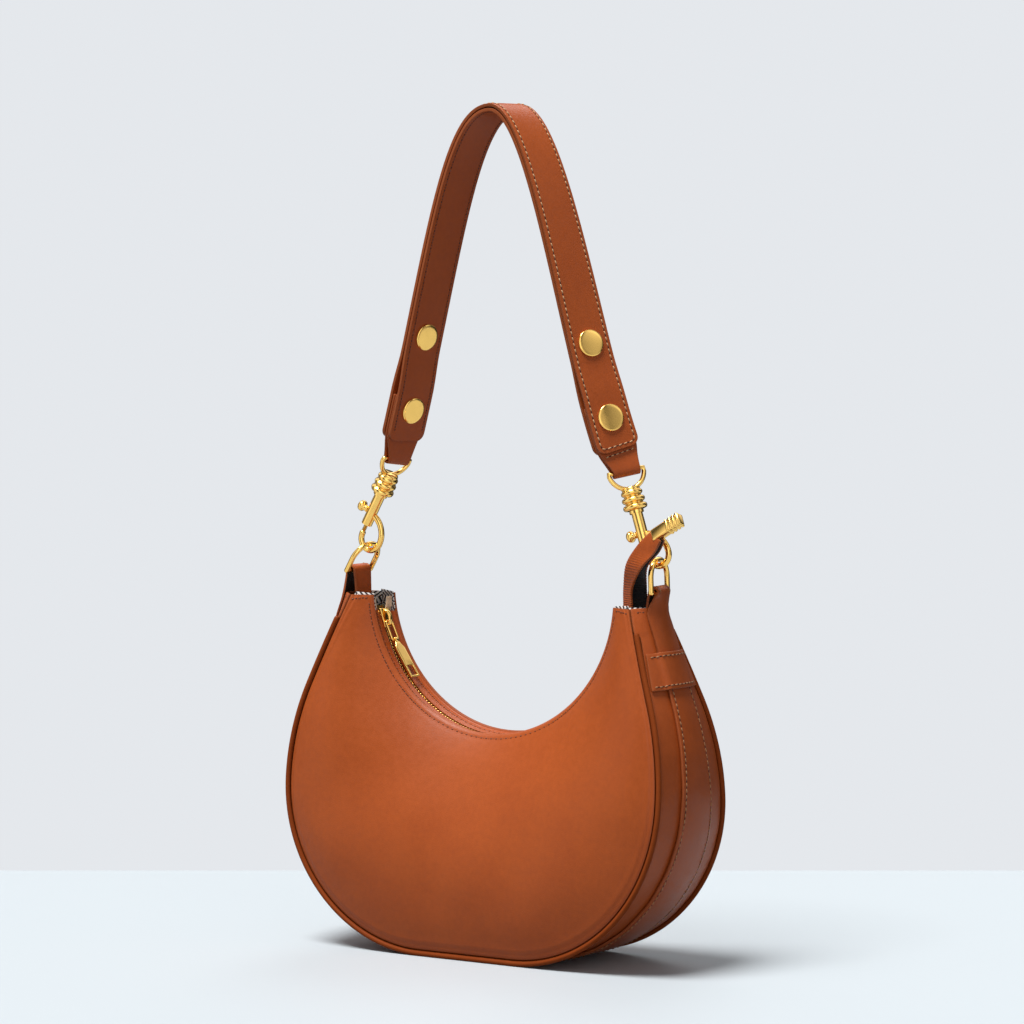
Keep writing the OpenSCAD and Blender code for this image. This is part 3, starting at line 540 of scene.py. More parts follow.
def remap(tree, value, *ends):
    """A value mapped from one range to another: from low and high, to low and high"""
    return node(tree, "MapRange", {0: value, **dict(enumerate(ends, 1))}).outputs[0]


def cloudy(tree, where, scale, detail, rough=0.5):
    return node(tree, "TexNoise", {"Vector": where, "Scale": scale, "Detail": detail, "Roughness": rough}).outputs[0]


def bumps(tree, height, strength, depth):
    return node(tree, "Bump", {"Height": height, "Strength": strength, "Distance": depth}).outputs[0]


def tinted(rgb, share):
    return [share*v for v in rgb]


def fresh(name):
    made = bpy.data.materials.new(name)
    made.use_nodes = True
    return made, made.node_tree, made.node_tree.nodes["Principled BSDF"]


def leather(name, base, deep, rough=0.37, depth=0.35, tint_edge=True, shine=0.22):
    """Smooth leather with fine pores, faint clouds and burnished edges"""
    made, tree, skin = fresh(name)
    where = node(tree, "TexCoord").outputs["Object"]
    cloud, fine = cloudy(tree, where, 26.0, 5.0, 0.6), cloudy(tree, where, 330.0, 6.0, 0.65)
    pores = node(tree, "TexVoronoi", {"Vector": where, "Scale": 1/sizes().grain}, feature="DISTANCE_TO_EDGE")
    tone = mixed(tree, remap(tree, cloud, 0.35, 0.7, 0.0, 0.4), base, deep)
    speck = remap(tree, fine, 0.3, 0.7, 0.93, 1.05)
    speck_colour = node(tree, "CombineColor", {0: speck, 1: speck, 2: speck}).outputs[0]
    tone = mixed(tree, 1.0, tone, speck_colour, "MULTIPLY")
    if tint_edge:
        edge = node(tree, "Attribute", attribute_name="edge").outputs["Fac"]
        tone = mixed(tree, remap(tree, edge, 0.0, 0.0011, 0.55, 0.0), tone, colours().edge)
    pit = remap(tree, pores.outputs["Distance"], 0.0, 0.25, 0.0, 1.0)
    height = sum_of(tree, "MULTIPLY_ADD", pit, 0.6, fine)
    feed(tree, skin, {"Base Color": tone, "Roughness": remap(tree, fine, 0.3, 0.7, rough - 0.05, rough + 0.07),
                      "Normal": bumps(tree, height, depth, 0.00012), "Specular IOR Level": shine})
    return made


def metal(name, base, rough=0.16, brushed=0.04):
    """Polished gilt metal with faint unevenness"""
    made, tree, skin = fresh(name)
    where = node(tree, "TexCoord").outputs["Object"]
    cloud, fine = cloudy(tree, where, 160.0, 3.0), cloudy(tree, where, 1800.0, 3.0)
    feed(tree, skin, {"Base Color": mixed(tree, cloud, base, tinted(base, 0.86)),
                      "Roughness": remap(tree, cloud, 0.3, 0.7, rough*0.8, rough*1.3),
                      "Normal": bumps(tree, fine, brushed, 0.0001), "Metallic": 1.0})
    return made


def woven(name, base, deep, thread=0.0007):
    """Plain woven cloth on the sheet's own UV map"""
    made, tree, skin = fresh(name)
    uv = node(tree, "UVMap").outputs[0]
    parts = node(tree, "SeparateXYZ", {0: uv})
    warp, weft = (sum_of(tree, "SINE", sum_of(tree, "MULTIPLY", parts.outputs[k], 2*math.pi/thread)) for k in (0, 1))
    shade = remap(tree, sum_of(tree, "MULTIPLY", warp, weft), -1.0, 1.0)
    tone = mixed(tree, sum_of(tree, "MULTIPLY", shade, cloudy(tree, uv, 90.0, 4.0)), base, deep)
    feed(tree, skin, {"Base Color": tone, "Normal": bumps(tree, shade, 0.5, 0.0002), "Roughness": 0.85,
                      "Sheen Weight": 0.15})
    return made


def herringbone(name, dark, light, column=0.0035, stripe=0.003):
    """Dark and light yarn in the zigzag columns of a herringbone twill"""
    made, tree, skin = fresh(name)
    uv = node(tree, "UVMap").outputs[0]
    parts = node(tree, "SeparateXYZ", {0: uv})
    slope = sum_of(tree, "ADD", sum_of(tree, "PINGPONG", parts.outputs[0], column), parts.outputs[1])
    wave = sum_of(tree, "SINE", sum_of(tree, "MULTIPLY", slope, 2*math.pi/stripe))
    yarn = remap(tree, wave, -0.25, 0.25)
    fuzz = remap(tree, cloudy(tree, uv, 2200.0, 2.0), 0.0, 1.0, 0.75, 1.1)
    feed(tree, skin, {"Base Color": mixed(tree, sum_of(tree, "MULTIPLY", yarn, fuzz), dark, light),
                      "Normal": bumps(tree, yarn, 0.4, 0.0002), "Roughness": 0.9})
    return made


def threads(name, base, rough=0.55):
    """Twisted waxed thread"""
    made, tree, skin = fresh(name)
    where = node(tree, "TexCoord").outputs["Object"]
    feed(tree, skin, {"Base Color": mixed(tree, cloudy(tree, where, 300.0, 1.0), base, tinted(base, 0.5)),
                      "Normal": bumps(tree, cloudy(tree, where, 1500.0, 3.0), 0.5, 0.0002), "Roughness": rough})
    return made


def material(name):
    """Finds or makes one of the bag's finishes"""
    if name in bpy.data.materials:
        return bpy.data.materials[name]
    c = colours()
    recipes = {
        "tan_leather": lambda: leather(name, c.leather, c.leather_deep),
        # The piping is the panels' leather at 0.6 of its colour: painted shade that holds down the light on the
        # up-facing tube
        "painted_shade_piping": lambda: leather(name, tinted(c.leather, 0.6), tinted(c.leather_deep, 0.6), 0.5, 0.2, False,
                                       0.06),
        "leather_edge": lambda: leather(name, c.edge, tinted(c.leather_deep, 0.75), 0.5, 0.3, False),
        "dark_leather": lambda: leather(name, (0.05, 0.024, 0.014), (0.03, 0.014, 0.01), 0.5, 0.3, False),
        "gilt": lambda: metal(name, c.gold),
        "gilt_satin": lambda: metal(name, c.gold, 0.27, 0.12),
        "steel": lambda: metal(name, (0.62, 0.62, 0.6), 0.3),
        "cream_tape": lambda: woven(name, c.cream, tinted(c.cream, 0.7)),
        "black_cloth": lambda: woven(name, (0.02, 0.02, 0.022), (0.008, 0.008, 0.009)),
        "lining": lambda: herringbone(name, c.ink, c.chalk),
        "board": lambda: woven(name, (0.3, 0.22, 0.14), (0.2, 0.14, 0.09), 0.003),
        "light_thread": lambda: threads(name, c.thread_light),
        "tan_thread": lambda: threads(name, c.thread_tan),
        "brown_thread": lambda: threads(name, c.thread_brown),
        # The needle holes' near-black colour is painted shade in the holes
        "needle_hole_shade": lambda: threads(name, (0.05, 0.015, 0.006), 0.8),
    }
    return recipes[name]()


def refinish(name, *nodes):
    """Gives a finish to nodes of the frame whose shape stays"""
    for each in nodes:
        slots = frame["nodes"][each].data.materials
        slots.clear()
        slots.append(material(name))


# Strap: two cubic curves that meet at the top, with a slow twist
EYE = {-1: Vector((-70.533, -0.975, 273.225)), 1: Vector((81.476, -0.064, 270.705))}
STRAP_TOP = Vector((2.3, 0, 468.705))
TOP_TURN = math.radians(-12.3)
TOP_WAY = Vector((math.cos(TOP_TURN), math.sin(TOP_TURN), 0))
LEFT_CURVE = [EYE[-1], EYE[-1] + Vector((36, -6, 110)), STRAP_TOP - TOP_WAY*38.6, STRAP_TOP]
RIGHT_CURVE = [STRAP_TOP, STRAP_TOP + TOP_WAY*35.8, EYE[1] + Vector((-21, -8, 48)), EYE[1]]
STRAP_W, PLY, PLY_CORNER, TAB_REACH, TAB_BARE = 25, 2, 5, 38, 12
SNAP_UP = {-1: Vector((0.492424, 0, 0.870356)), 1: Vector((-0.300706, 0, 0.953717))}
SNAP_LENGTH = 42.8
SNAP = {side: EYE[side] - SNAP_UP[side]*SNAP_LENGTH for side in EYE}


def bezier(p, t):
    return p[0]*(1 - t)**3 + 3*p[1]*t*(1 - t)**2 + 3*p[2]*t*t*(1 - t) + p[3]*t**3


def bezier_way(p, t):
    return ((p[1] - p[0])*(1 - t)**2 + 2*(p[2] - p[1])*t*(1 - t) + (p[3] - p[2])*t*t).normalized()


def strap_point(t):
    return bezier(LEFT_CURVE, t) if t < 1 else bezier(RIGHT_CURVE, t - 1)


def strap_way(t):
    return bezier_way(LEFT_CURVE, t) if t < 1 else bezier_way(RIGHT_CURVE, t - 1)


def strap_side(t):
    top = TOP_TURN + math.pi/2
    twist = lerp(math.radians(75.3), top, t) if t < 1 else lerp(math.radians(47.5), top, max(0, 2 - t)**0.7)
    w, d = Vector((math.cos(twist), math.sin(twist), 0)), strap_way(t)
    return (w - w.dot(d)*d).normalized()


def strap_face(t):
    return strap_way(t).cross(-strap_side(t))


def strap_t(side, d):
    """The strap's parameter at a straight distance from an eye"""
    low, high = 0.0, 0.9
    for _ in range(14):
        m = (low + high)/2
        if (strap_point(m if side < 0 else 2 - m) - EYE[side]).length < d:
            low = m
        else:
            high = m
    return low if side < 0 else 2 - low


def half_gap(t):
    near = min((strap_point(t) - EYE[-1]).length, (strap_point(t) - EYE[1]).length)
    return lerp(2.0, 0.4, smooth((near - TAB_REACH - 2)/25))


def ply_half(d):
    return STRAP_W/2 - PLY_CORNER*(1 - math.sqrt(1 - (1 - clamp(d/PLY_CORNER))**2))


def ply_stations():
    """Parameters and half widths along a ply, with its round corners"""
    ends = [0, 0.45, 1.3, 2.4, 3.6, PLY_CORNER]
    first, last = ([strap_t(side, TAB_BARE + e) for e in ends] for side in (-1, 1))
    mid = spread(96, first[-1], last[-1])[1:-1]
    halves = [ply_half(e) for e in ends]
    return first + mid + last[::-1], halves + [STRAP_W/2]*len(mid) + halves[::-1]


def ply_point(face, t, across, lift=0.0):
    crown = 0.35*(1 - min(1, abs(across)/(STRAP_W/2))**4)
    return strap_point(t) + strap_side(t)*across + face*strap_face(t)*(half_gap(t) + PLY + crown - 0.3 + lift)


class BagPart:
    """What every operator of the bag shares"""
    bl_options = {"REGISTER", "UNDO"}

    def execute(self, context):
        self.build()
        return {"FINISHED"}


class BAG_OT_panels(BagPart, bpy.types.Operator):
    """Adds the front and back leather panels with the stitching round the mouth"""
    bl_idname = "bag.panels"
    bl_label = "Front and back panels"

    def build(self):
        for name, face in FACES:
            rows = [[panel_skin(face, f, v) for v in crowded(40, 0, 1, 0.8)] for f in spread(110, -1, 1)]
            out = Vector((0, face, 0))
            leather_sheet(name + "_panel", rows, THIN_LEATHER, out)

            def mouth_line(f, k):
                return panel_skin(face, f, (2.7 + k)/panel_span(f))

            def tip_line(v, k, side):
                return panel_skin(face, side*(1 - (2.8 + k)/SEAM_END), v)

            lines = [rail(mouth_line, spread(200, -0.975, 0.975), lambda p: out)]
            for side in (-1, 1):
                lines.append(rail(lambda v, k: tip_line(v, k, side), spread(12, 0.14, 0.97), lambda p: out))
            stitches(name + "_mouth_stitches", lines, "brown_thread", fill=MOUTH_FILL)


class BAG_OT_gusset(BagPart, bpy.types.Operator):
    """Adds the gusset that joins the two panels"""
    bl_idname = "bag.gusset"
    bl_label = "Gusset"

    def build(self):
        piping_room, tip_room, pinch, hem = 2.7, 0.1, 0.4, 2.4
        rows = []
        for s in crowded(220, -SEAM_END, SEAM_END, 0.3):
            half = half_depth(abs(s)) - lerp(piping_room, tip_room, near_tip(s, 16.5, 2.5))
            dip = pinch*near_tip(s, 20, 4)
            rows.append([wall(s, y, GUSSET_OFF + ripple(s, y)*0.5 - 0.1 - dip*smooth((abs(y) - half + 4)/3))
                         for y in crowded(18, -half, half, 0.4)])
        leather_sheet("gusset", rows, THIN_LEATHER, -UP)
        lines = [rail(lambda y, k: wall(side*(SEAM_END - hem - k), y, GUSSET_OFF - 0.25), spread(6, low, high),
                      lambda p: Vector((side, 0, 0))) for side in (-1, 1) for low, high in ((-14, -9.6), (9.6, 14))]
        stitches("gusset_hem_stitches", lines, "brown_thread", share=0.8, fill=MOUTH_FILL)


def band_half(s):
    return lerp(11, 17.5, smooth((BAND_END - abs(s))/120))


class BAG_OT_band(BagPart, bpy.types.Operator):
    """Adds the band round the gusset with two rows of stitching"""
    bl_idname = "bag.band"
    bl_label = "Gusset band"

    def build(self):
        def off(s):
            return BAND_OFF + BAND_T - 0.5*smooth((75 - abs(s))/40)

        rows = [[wall(s, band_half(s)*c, off(s) + ripple(s, band_half(s)*c)*0.8 - 0.12 + 0.2*(1 - c**4))
                 for c in crowded(14, -1, 1, 0.4)] for s in spread(190, -BAND_END, BAND_END)]
        leather_sheet("gusset_band", rows, BAND_T, -UP)
        lines = [rail(lambda s, k: wall(s, side*(band_half(s) - 2.4 - k), off(s) + 0.05),
                      spread(240, 4 - BAND_END, BAND_END - 4), lambda p: p - MIDDLE) for side in (-1, 1)]
        stitches("gusset_band_stitches", lines, "tan_thread")


class BAG_OT_piping(BagPart, bpy.types.Operator):
    """Adds the piping along both seams, with its sewn flange and the seam tape inside"""
    bl_idname = "bag.piping"
    bl_label = "Piping"

    def build(self):
        end = SEAM_END - 14
        for name, face in FACES:
            def spot(s, off, back):
                a, (x, z) = seam_turn(abs(s)), seam_point(abs(s))
                return Vector((math.copysign(x + off*math.sin(a), s), face*(half_depth(abs(s)) - back),
                               SEAM_Z + z - off*math.cos(a)))

            cord = tube([spot(s, 2.35, 0.6) for s in spread(220, PIPING_R - end, end - PIPING_R)], PIPING_R, 16,
                        round_ends=True)
            stations, out = spread(220, 1 - end, end - 1), Vector((0, face, 0))
            flange = grid([[spot(s, off, 1.65) for off in (-2, 0, 1.7)] for s in stations], out)
            tape = grid([[wall(s, face*(half_depth(abs(s)) - back), -0.7) for back in (1.8, 3, 4.5, 6)]
                         for s in stations], out)
            for strip in (flange, tape):
                bmesh.ops.solidify(strip, geom=strip.faces[:], thickness=0.9*MM)
                bmesh.ops.recalc_face_normals(strip, faces=strip.faces[:])
            # The piping's darker leather is painted shade
            place(name + "_piping_tube", join([cord, flange, tape]), ["painted_shade_piping"], node=name + "_piping",
                  slot="piping_leather")


class BAG_OT_keepers(BagPart, bpy.types.Operator):
    """Adds the keeper strips that cross the gusset below each ring tab"""
    bl_idname = "bag.keepers"
    bl_label = "Keepers"

    def build(self):
        def off(y):
            return lerp(BAND_OFF, BAND_OFF + 2.2, smooth((14 - abs(y))/3.4))

        near, far, edge, inset = SEAM_END - 26, SEAM_END - 47, 3, 4.4
        for name, side in SIDES:
            rows = [[wall(side*s, y, off(y) + 1.1) for y in spread(36, edge - half_depth(s), half_depth(s) - edge)]
                    for s in spread(14, near, far)]
            leather_sheet(name + "_keeper", rows, 1.1, Vector((side, 0, 0)))
            lines = [rail(lambda y, k: wall(side*(s + k), y, off(y) + 1.15),
                          spread(60, inset - half_depth(s), half_depth(s) - inset), lambda p: Vector((side, 0, 0)))
                     for s in (near - 2.2, far + 2.2)]
            stitches(name + "_keeper_stitches", lines, "tan_thread")


RING_BAR = {-1: Vector((-97.9961, 0, 209.85)), 1: Vector((102.9961, 0, 205.85))}
RING_TURN, RING_TAB_HALF, RING_WRAP = math.radians(6), 7.1, 3.4


def ring_tab_row(side, step, across):
    """One point across a ring tab; step runs up the outside, over the bar and down the inside"""
    out = Vector((side*math.cos(RING_TURN), math.sin(RING_TURN), 0))
    back = Vector((-side*math.sin(RING_TURN), math.cos(RING_TURN), 0))
    if step < 1:
        return wall(side*lerp(SEAM_END - 36.5, SEAM_END - 1.5, step), 11*across, BAND_OFF + BAND_T)
    if step < 2:
        bend = circle(RING_WRAP, lerp(-12, 192, step - 1))
        return RING_BAR[side] + RING_TAB_HALF*across*back + bend.x*out + bend.y*UP
    s = SEAM_END - 21*(step - 2)
    x = min(abs(wall(s, RING_TAB_HALF, -0.3)[0]),
            abs(RING_BAR[side][0]) - 1.9 - RING_TAB_HALF*math.sin(RING_TURN)) - 1.5
    return Vector((side*x, RING_TAB_HALF*across, wall(s, 0, 0)[2]))


class BAG_OT_ring_tabs(BagPart, bpy.types.Operator):
    """Adds the folded leather tabs that hold the rings"""
    bl_idname = "bag.ring_tabs"
    bl_label = "Ring tabs"

    def build(self):
        inset, bar_row, last_row = 1.7, 20, 27
        steps = spread(14, 0, 0.999) + spread(22, 1, 1.999) + spread(8, 2, 3)
        for name, side in SIDES:
            rows = eased([[ring_tab_row(side, t, c) for c in crowded(10, -1, 1, 0.4)] for t in steps])
            leather_sheet(name + "_ring_tab", rows, 1.4, UP, more=["dark_leather"])
            lines = []
            for turn in (1, -1):
                line = []
                for i in range(1, last_row):
                    edge, inner = (rows[i][0], rows[i][-1])[::turn]
                    ahead = rows[i + 1][5] - rows[i - 1][5]
                    normal = ahead.cross(rows[i][-1] - rows[i][0]).normalized()
                    if (normal.x*side if i < bar_row else normal.dot(line[-1][1])) < 0:
                        normal = -normal
                    line.append((edge + (inner - edge).normalized()*inset, normal))
                lines.append(line)
            stitches(name + "_ring_tab_stitches", lines, "tan_thread", share=0.85)


def polar(r, a, y=0.0):
    return Vector((r*math.cos(a), y, MOUTH_Z + r*math.sin(a)))


ZIP_START, ZIP_END = 1.5*math.pi - MOUTH_TURN, 1.5*math.pi + MOUTH_TURN
FACING_R, TOOTH_R = 82.587, 84.387


class BAG_OT_zip_facings(BagPart, bpy.types.Operator):
    """Adds the leather facings that turn down from the rim to the zip"""
    bl_idname = "bag.zip_facings"
    bl_label = "Zip facings"

    def build(self):
        profile = [(9.5, 80.75), (9.35, 81.3), (9.0, 81.75), (8.3, 82.1), (7.3, 82.3), (6.0, 82.38),
                   (4.5, 82.4), (3.2, 82.4), (2.5, 82.42), (1.8, 82.5), (1.4, 82.62)]
        edge, sewn_y, sewn_r = profile[0][0], 6.6, 82.38
        for name, face in FACES:
            first, last = ZIP_START + math.radians(5.4 if face < 0 else 7), ZIP_END - math.radians(6.5)
            rows = []
            for a in crowded(130, first, last, 0.5):
                near = lerp(0.5, 1, smooth(min(a - first, last - a)/math.radians(6)))
                rows.append([polar(r, a, face*(edge - (edge - y)*near)) for y, r in profile])
            leather_sheet("zip_facing_" + name, rows, 0.55, UP, name + "_zip_facing_leather")
            line = [(polar(sewn_r, a, face*sewn_y), -polar(1, a) + Vector((0, 0, MOUTH_Z)))
                    for a in spread(200, first + 0.02, last - 0.02)]
            stitches(name + "_zip_facing_stitches", [line], "brown_thread", fill=MOUTH_FILL)


class BAG_OT_zip_tapes(BagPart, bpy.types.Operator):
    """Adds the zip's cloth tapes with their folded ends at the tips"""
    bl_idname = "bag.zip_tapes"
    bl_label = "Zip tapes"

    def build(self):
        start, end = ZIP_START + math.radians(1.2), ZIP_END - math.radians(1.2)
        flat_r, inner, outer = 84.15, 3.05, 9.1
        for name, face in FACES:
            rows = []
            for a in crowded(90, start, end, 0.7):
                rise = smooth(1 - min(a - start, end - a)/math.radians(8))
                low, top = lerp(flat_r, 82.6, rise), lerp(flat_r, 81.6, rise)
                near, far = lerp(inner, 5.4, rise), lerp(outer, 8.5, rise)
                rows.append([polar(lerp(low, top, k), a, face*lerp(near, far, k)) for k in spread(5)])
            for end_row, sign in ((rows[0], -1), (rows[-1], 1)):
                fold = [[p + Vector((sign*dx, 0, -dz)) for p in end_row]
                        for dx, dz in ((0.5, 0.5), (0.6, 1.3), (0.3, 3), (0.0, 6))]
                rows = fold[::-1] + rows if sign < 0 else rows + fold
            sheet(name + "_zip_tape_cloth", rows, 0.55, UP, ["cream_tape"], round_share=0.7,
                  node="zip_tape_" + name, slot="zip_cloth")


class BAG_OT_zip_teeth(BagPart, bpy.types.Operator):
    """Adds the two rows of slanted zip teeth and the end stops' finish"""
    bl_idname = "bag.zip_teeth"
    bl_label = "Zip teeth"

    def build(self):
        start, end = ZIP_START + math.radians(6.5), ZIP_END - math.radians(9)
        pitch, tooth, slant = 1.9, (2.5, 1.9, 0.95), 0.28
        count = int((end - start)*TOOTH_R/pitch)
        for name, face, shift in (("front", -1, 0), ("back", 1, 0.5)):
            parts = []
            for i in range(count):
                a = start + (i + shift + 0.25)*pitch/TOOTH_R
                radial, tangent = Vector((math.cos(a), 0, math.sin(a))), Vector((-math.sin(a), 0, math.cos(a)))
                way = (Vector((0, face, 0)) + slant*tangent).normalized()
                spot = axes(polar(TOOTH_R - 0.3, a, face*1.45), way, radial, way.cross(radial))
                parts.append(block(tooth, (0, 0, 0), 0.25, spot))
            parts.append(tube([polar(TOOTH_R, a, face*2.55) for a in spread(150, start, end)], 0.5, 6))
            gilt_part("zip_teeth_" + name, parts, "gilt_satin", name + "_zip_teeth_gilt")
        refinish("gilt_satin", "zip_stops")


SLIDER_TURN = ZIP_START + math.radians(9.6)
LINK_R, LINK_REACH, TAB_FALL = 80.337, 13 - 1.3, 26 - 2.2


def chord_end(p, reach, r):
    d = (p - Vector((0, 0, MOUTH_Z))).length
    a = math.atan2(p.z - MOUTH_Z, p.x)
    return polar(r, a + math.acos((d*d + r*r - reach*reach)/(2*d*r)))


def rounded_loop(reach, width, corner):
    """A rounded rectangle in the local XY plane, from x = 0"""
    corners = ((reach - corner, width/2 - corner, 0), (corner, width/2 - corner, 90),
               (corner, corner - width/2, 180), (reach - corner, corner - width/2, 270))
    return [Vector((x, y, 0)) + circle(corner, a + 18*k) for x, y, a in corners for k in range(6)]


class BAG_OT_zip_pull(BagPart, bpy.types.Operator):
    """Adds the zip's slider, its link and the windowed pull tab"""
    bl_idname = "bag.zip_pull"
    bl_label = "Zip slider and pull"

    def build(self):
        a = SLIDER_TURN
        seat = axes(Vector((0, 0, MOUTH_Z)), Vector((-math.sin(a), 0, math.cos(a))), Vector((0, 1, 0)),
                    Vector((-math.cos(a), 0, -math.sin(a))))
        top, low = 81.587, 86.5
        parts = [block((11, 8.6, 1.3), (0, 0, -top), 0.45, seat, 0.72),
                 block((11, 8.6, 1.2), (0, 0, -low), 0.4, seat, 0.72),
                 block((4, 0.6, 5), (-3.4, 0, -(top + low)/2), 0.1, seat)]
        arch = [Vector((lerp(-4.4, 4.4, t), 0, -top + 0.4 + 2.7*math.sin(math.pi*t)**0.5)) for t in spread(16)]
        parts.append(tube(arch, 0.8, round_ends=True, where=seat @ Matrix.Diagonal((1, 2.1, 1, 1))))
        gilt_part("zip_slider", parts)

        pin = polar(LINK_R, SLIDER_TURN + math.atan(2/LINK_R))
        tab_pin = chord_end(pin, LINK_REACH, 79.387)
        foot = chord_end(tab_pin, TAB_FALL, 78.987)
        link = rounded_loop(LINK_REACH, 5.7, 1.2)
        gilt_part("pull_link", [tube(link, 0.65, 10, closed=True, where=line_axes(pin, tab_pin))])
        gilt_part("pull_tab", self.pull_tab(line_axes(tab_pin, foot)))

    def pull_tab(self, seat):
        """A flat bar that widens from its eye to a square window"""
        reach, half, hole, border, thick = 24.4, 4.0, 2.75, 1.2, 1.5
        xs = [1.2, 3.2, 5.6, 9, 13, reach - border - 6.3, reach - border, reach]
        bm = bmesh.new()
        for v, (i, j) in cells(bm, len(xs), 4).items():
            wide = lerp(1.7, half, smooth((xs[i] - 1.2)/4.6))
            v.co = (xs[i], (-wide, -wide*hole/half, wide*hole/half, wide)[j], thick/2)
        window = [f for f in bm.faces if reach - 6 < f.calc_center_median().x < reach - 2
                  and abs(f.calc_center_median().y) < 1]
        bmesh.ops.delete(bm, geom=window, context="FACES")
        bmesh.ops.recalc_face_normals(bm, faces=bm.faces[:])
        bmesh.ops.solidify(bm, geom=bm.faces[:] + bm.edges[:], thickness=thick)
        sharp = [e for e in bm.edges if len(e.link_faces) == 2 and e.calc_face_angle() > 0.9]
        bmesh.ops.bevel(bm, geom=sharp, offset=0.42, segments=3, profile=0.5, affect="EDGES", material=-1)
        bmesh.ops.recalc_face_normals(bm, faces=bm.faces[:])
        bmesh.ops.scale(bm, vec=(MM, MM, MM), verts=bm.verts[:])
        low = min(v.co.z for v in bm.verts)
        bmesh.ops.translate(bm, vec=(0, 0, -low - thick/2*MM), verts=bm.verts[:])
        bmesh.ops.transform(bm, matrix=seat, verts=bm.verts[:])
        ring = lathe([(0.8, -1.6), (1.45, -1.6), (1.6, -1.4), (1.6, 1.4), (1.45, 1.6), (0.8, 1.6), (0.8, -1.6)],
                     seat @ Matrix.Rotation(math.pi/2, 4, "X"), 24)
        return [bm, ring]


def line_axes(p, q):
    d = (q - p).normalized()
    y = Vector((0, 1, 0))
    return axes(p, d, y, d.cross(y))


# The zip's tail from inside the bag to its cap: fold line from the tip, width across, half the gap inside
TAIL_FOOT = FACING_R - TIP_X + 0.3
TAIL = [((TAIL_FOOT, 0, -7), (7.5, 0, 0), 5.5), ((TAIL_FOOT, 0, 1), (7.5, 0, 0), 5.5), ((-9.2, -1, 11), (8, -1, 0), 5),
        ((-3, -10, 24), (13, -4.5, -1), 1.7), ((6.5, -13.5, 34.5), (12, -2, -3), 1.2),
        ((15, -14, 42), (8, -3, -4), 1)]


class BAG_OT_zip_tail(BagPart, bpy.types.Operator):
    """Adds the folded tail of the zip and its ribbed cap"""
    bl_idname = "bag.zip_tail"
    bl_label = "Zip tail and cap"

    def build(self):
        tip, rib_height, rib_count = Vector((TIP_X, 0, TIP_Z)), 0.13, 84
        vertex, width, gaps = zip(*((Vector(p) + tip, Vector(w), Vector((gap, 0, 0))) for p, w, gap in TAIL))
        rows = []
        for t in spread(250):
            v, w, h = through(vertex, t), through(width, t), through(gaps, t).x
            fold, rim = Vector((0, 0.45*h + 0.75, 0)), Vector((0, 1.3*h + 1.5, 0))
            back, middle = w.normalized()*1.5, v + w/2
            a, b, c, d = v + w - rim, v - fold - back, v + fold - back, v + w + rim
            row = [*(a.lerp(b, k) for k in spread(8)[:-1]), *(b.lerp(c, k) for k in spread(3)),
                   *(c.lerp(d, k) for k in spread(8)[1:])]
            rib = rib_height*math.sin(t*math.pi*rib_count)*smooth((0.8 - t)/0.25)
            rows.append([p + (p - middle).normalized()*rib for p in softened(row)])
        leather_sheet("zip_tail", rows, 1.2, Vector((-1, 0, -0.3)), "zip_tail_strip", ["black_cloth"])

        along, cap, rib = Vector((0.86, 0, 0.51)).normalized(), (20, 7, 5), (1.6, 7.5, 5.5)
        last = width[-1]
        across = (last - last.dot(along)*along).normalized()
        seat = axes(vertex[-1] + last/3 - along*1.6, along, across, along.cross(across))
        ribs = [block(rib, (11.2 + 2.5*i, 0, 0), 0.5, seat) for i in range(4)]
        gilt_part("tail_cap", [block(cap, (cap[0]/2, 0, 0), 1.0, seat), *ribs])


class BAG_OT_lining(BagPart, bpy.types.Operator):
    """Adds the herringbone lining and finishes the base board"""
    bl_idname = "bag.lining"
    bl_label = "Lining"

    def build(self):
        for name, face in FACES:
            rows = []
            for f in crowded(90, -1.006, 1.006, 0.7):
                drop = lerp(6.1, 0.5, smooth((abs(f) - 0.89)/0.04))
                rows.append([panel(face, f, v, MOUTH_R + drop, 2.1) for v in spread(16, 0, 0.92)])
            sheet(name + "_lining_cloth", rows, 0.5, Vector((0, -face, 0)), ["lining"], round_share=0,
                  node=name + "_lining", slot="lining_cloth")
        last = SEAM_END + 2.2

        def inside(s):
            return lerp(-1.8, -5, near_tip(s, 26, 16))

        def half(s):
            return half_depth(min(abs(s), SEAM_END)) - lerp(4.9, 2.2, near_tip(s, 26, 16))

        rows = [[wall(s, half(s)*c, inside(s)) for c in spread(10, -1, 1)] for s in crowded(110, -last, last, 0.5)]
        sheet("side_lining_cloth", rows, 0.5, UP, ["lining"], round_share=0, node="side_lining",
              slot="lining_cloth")
        refinish("board", "base_board")


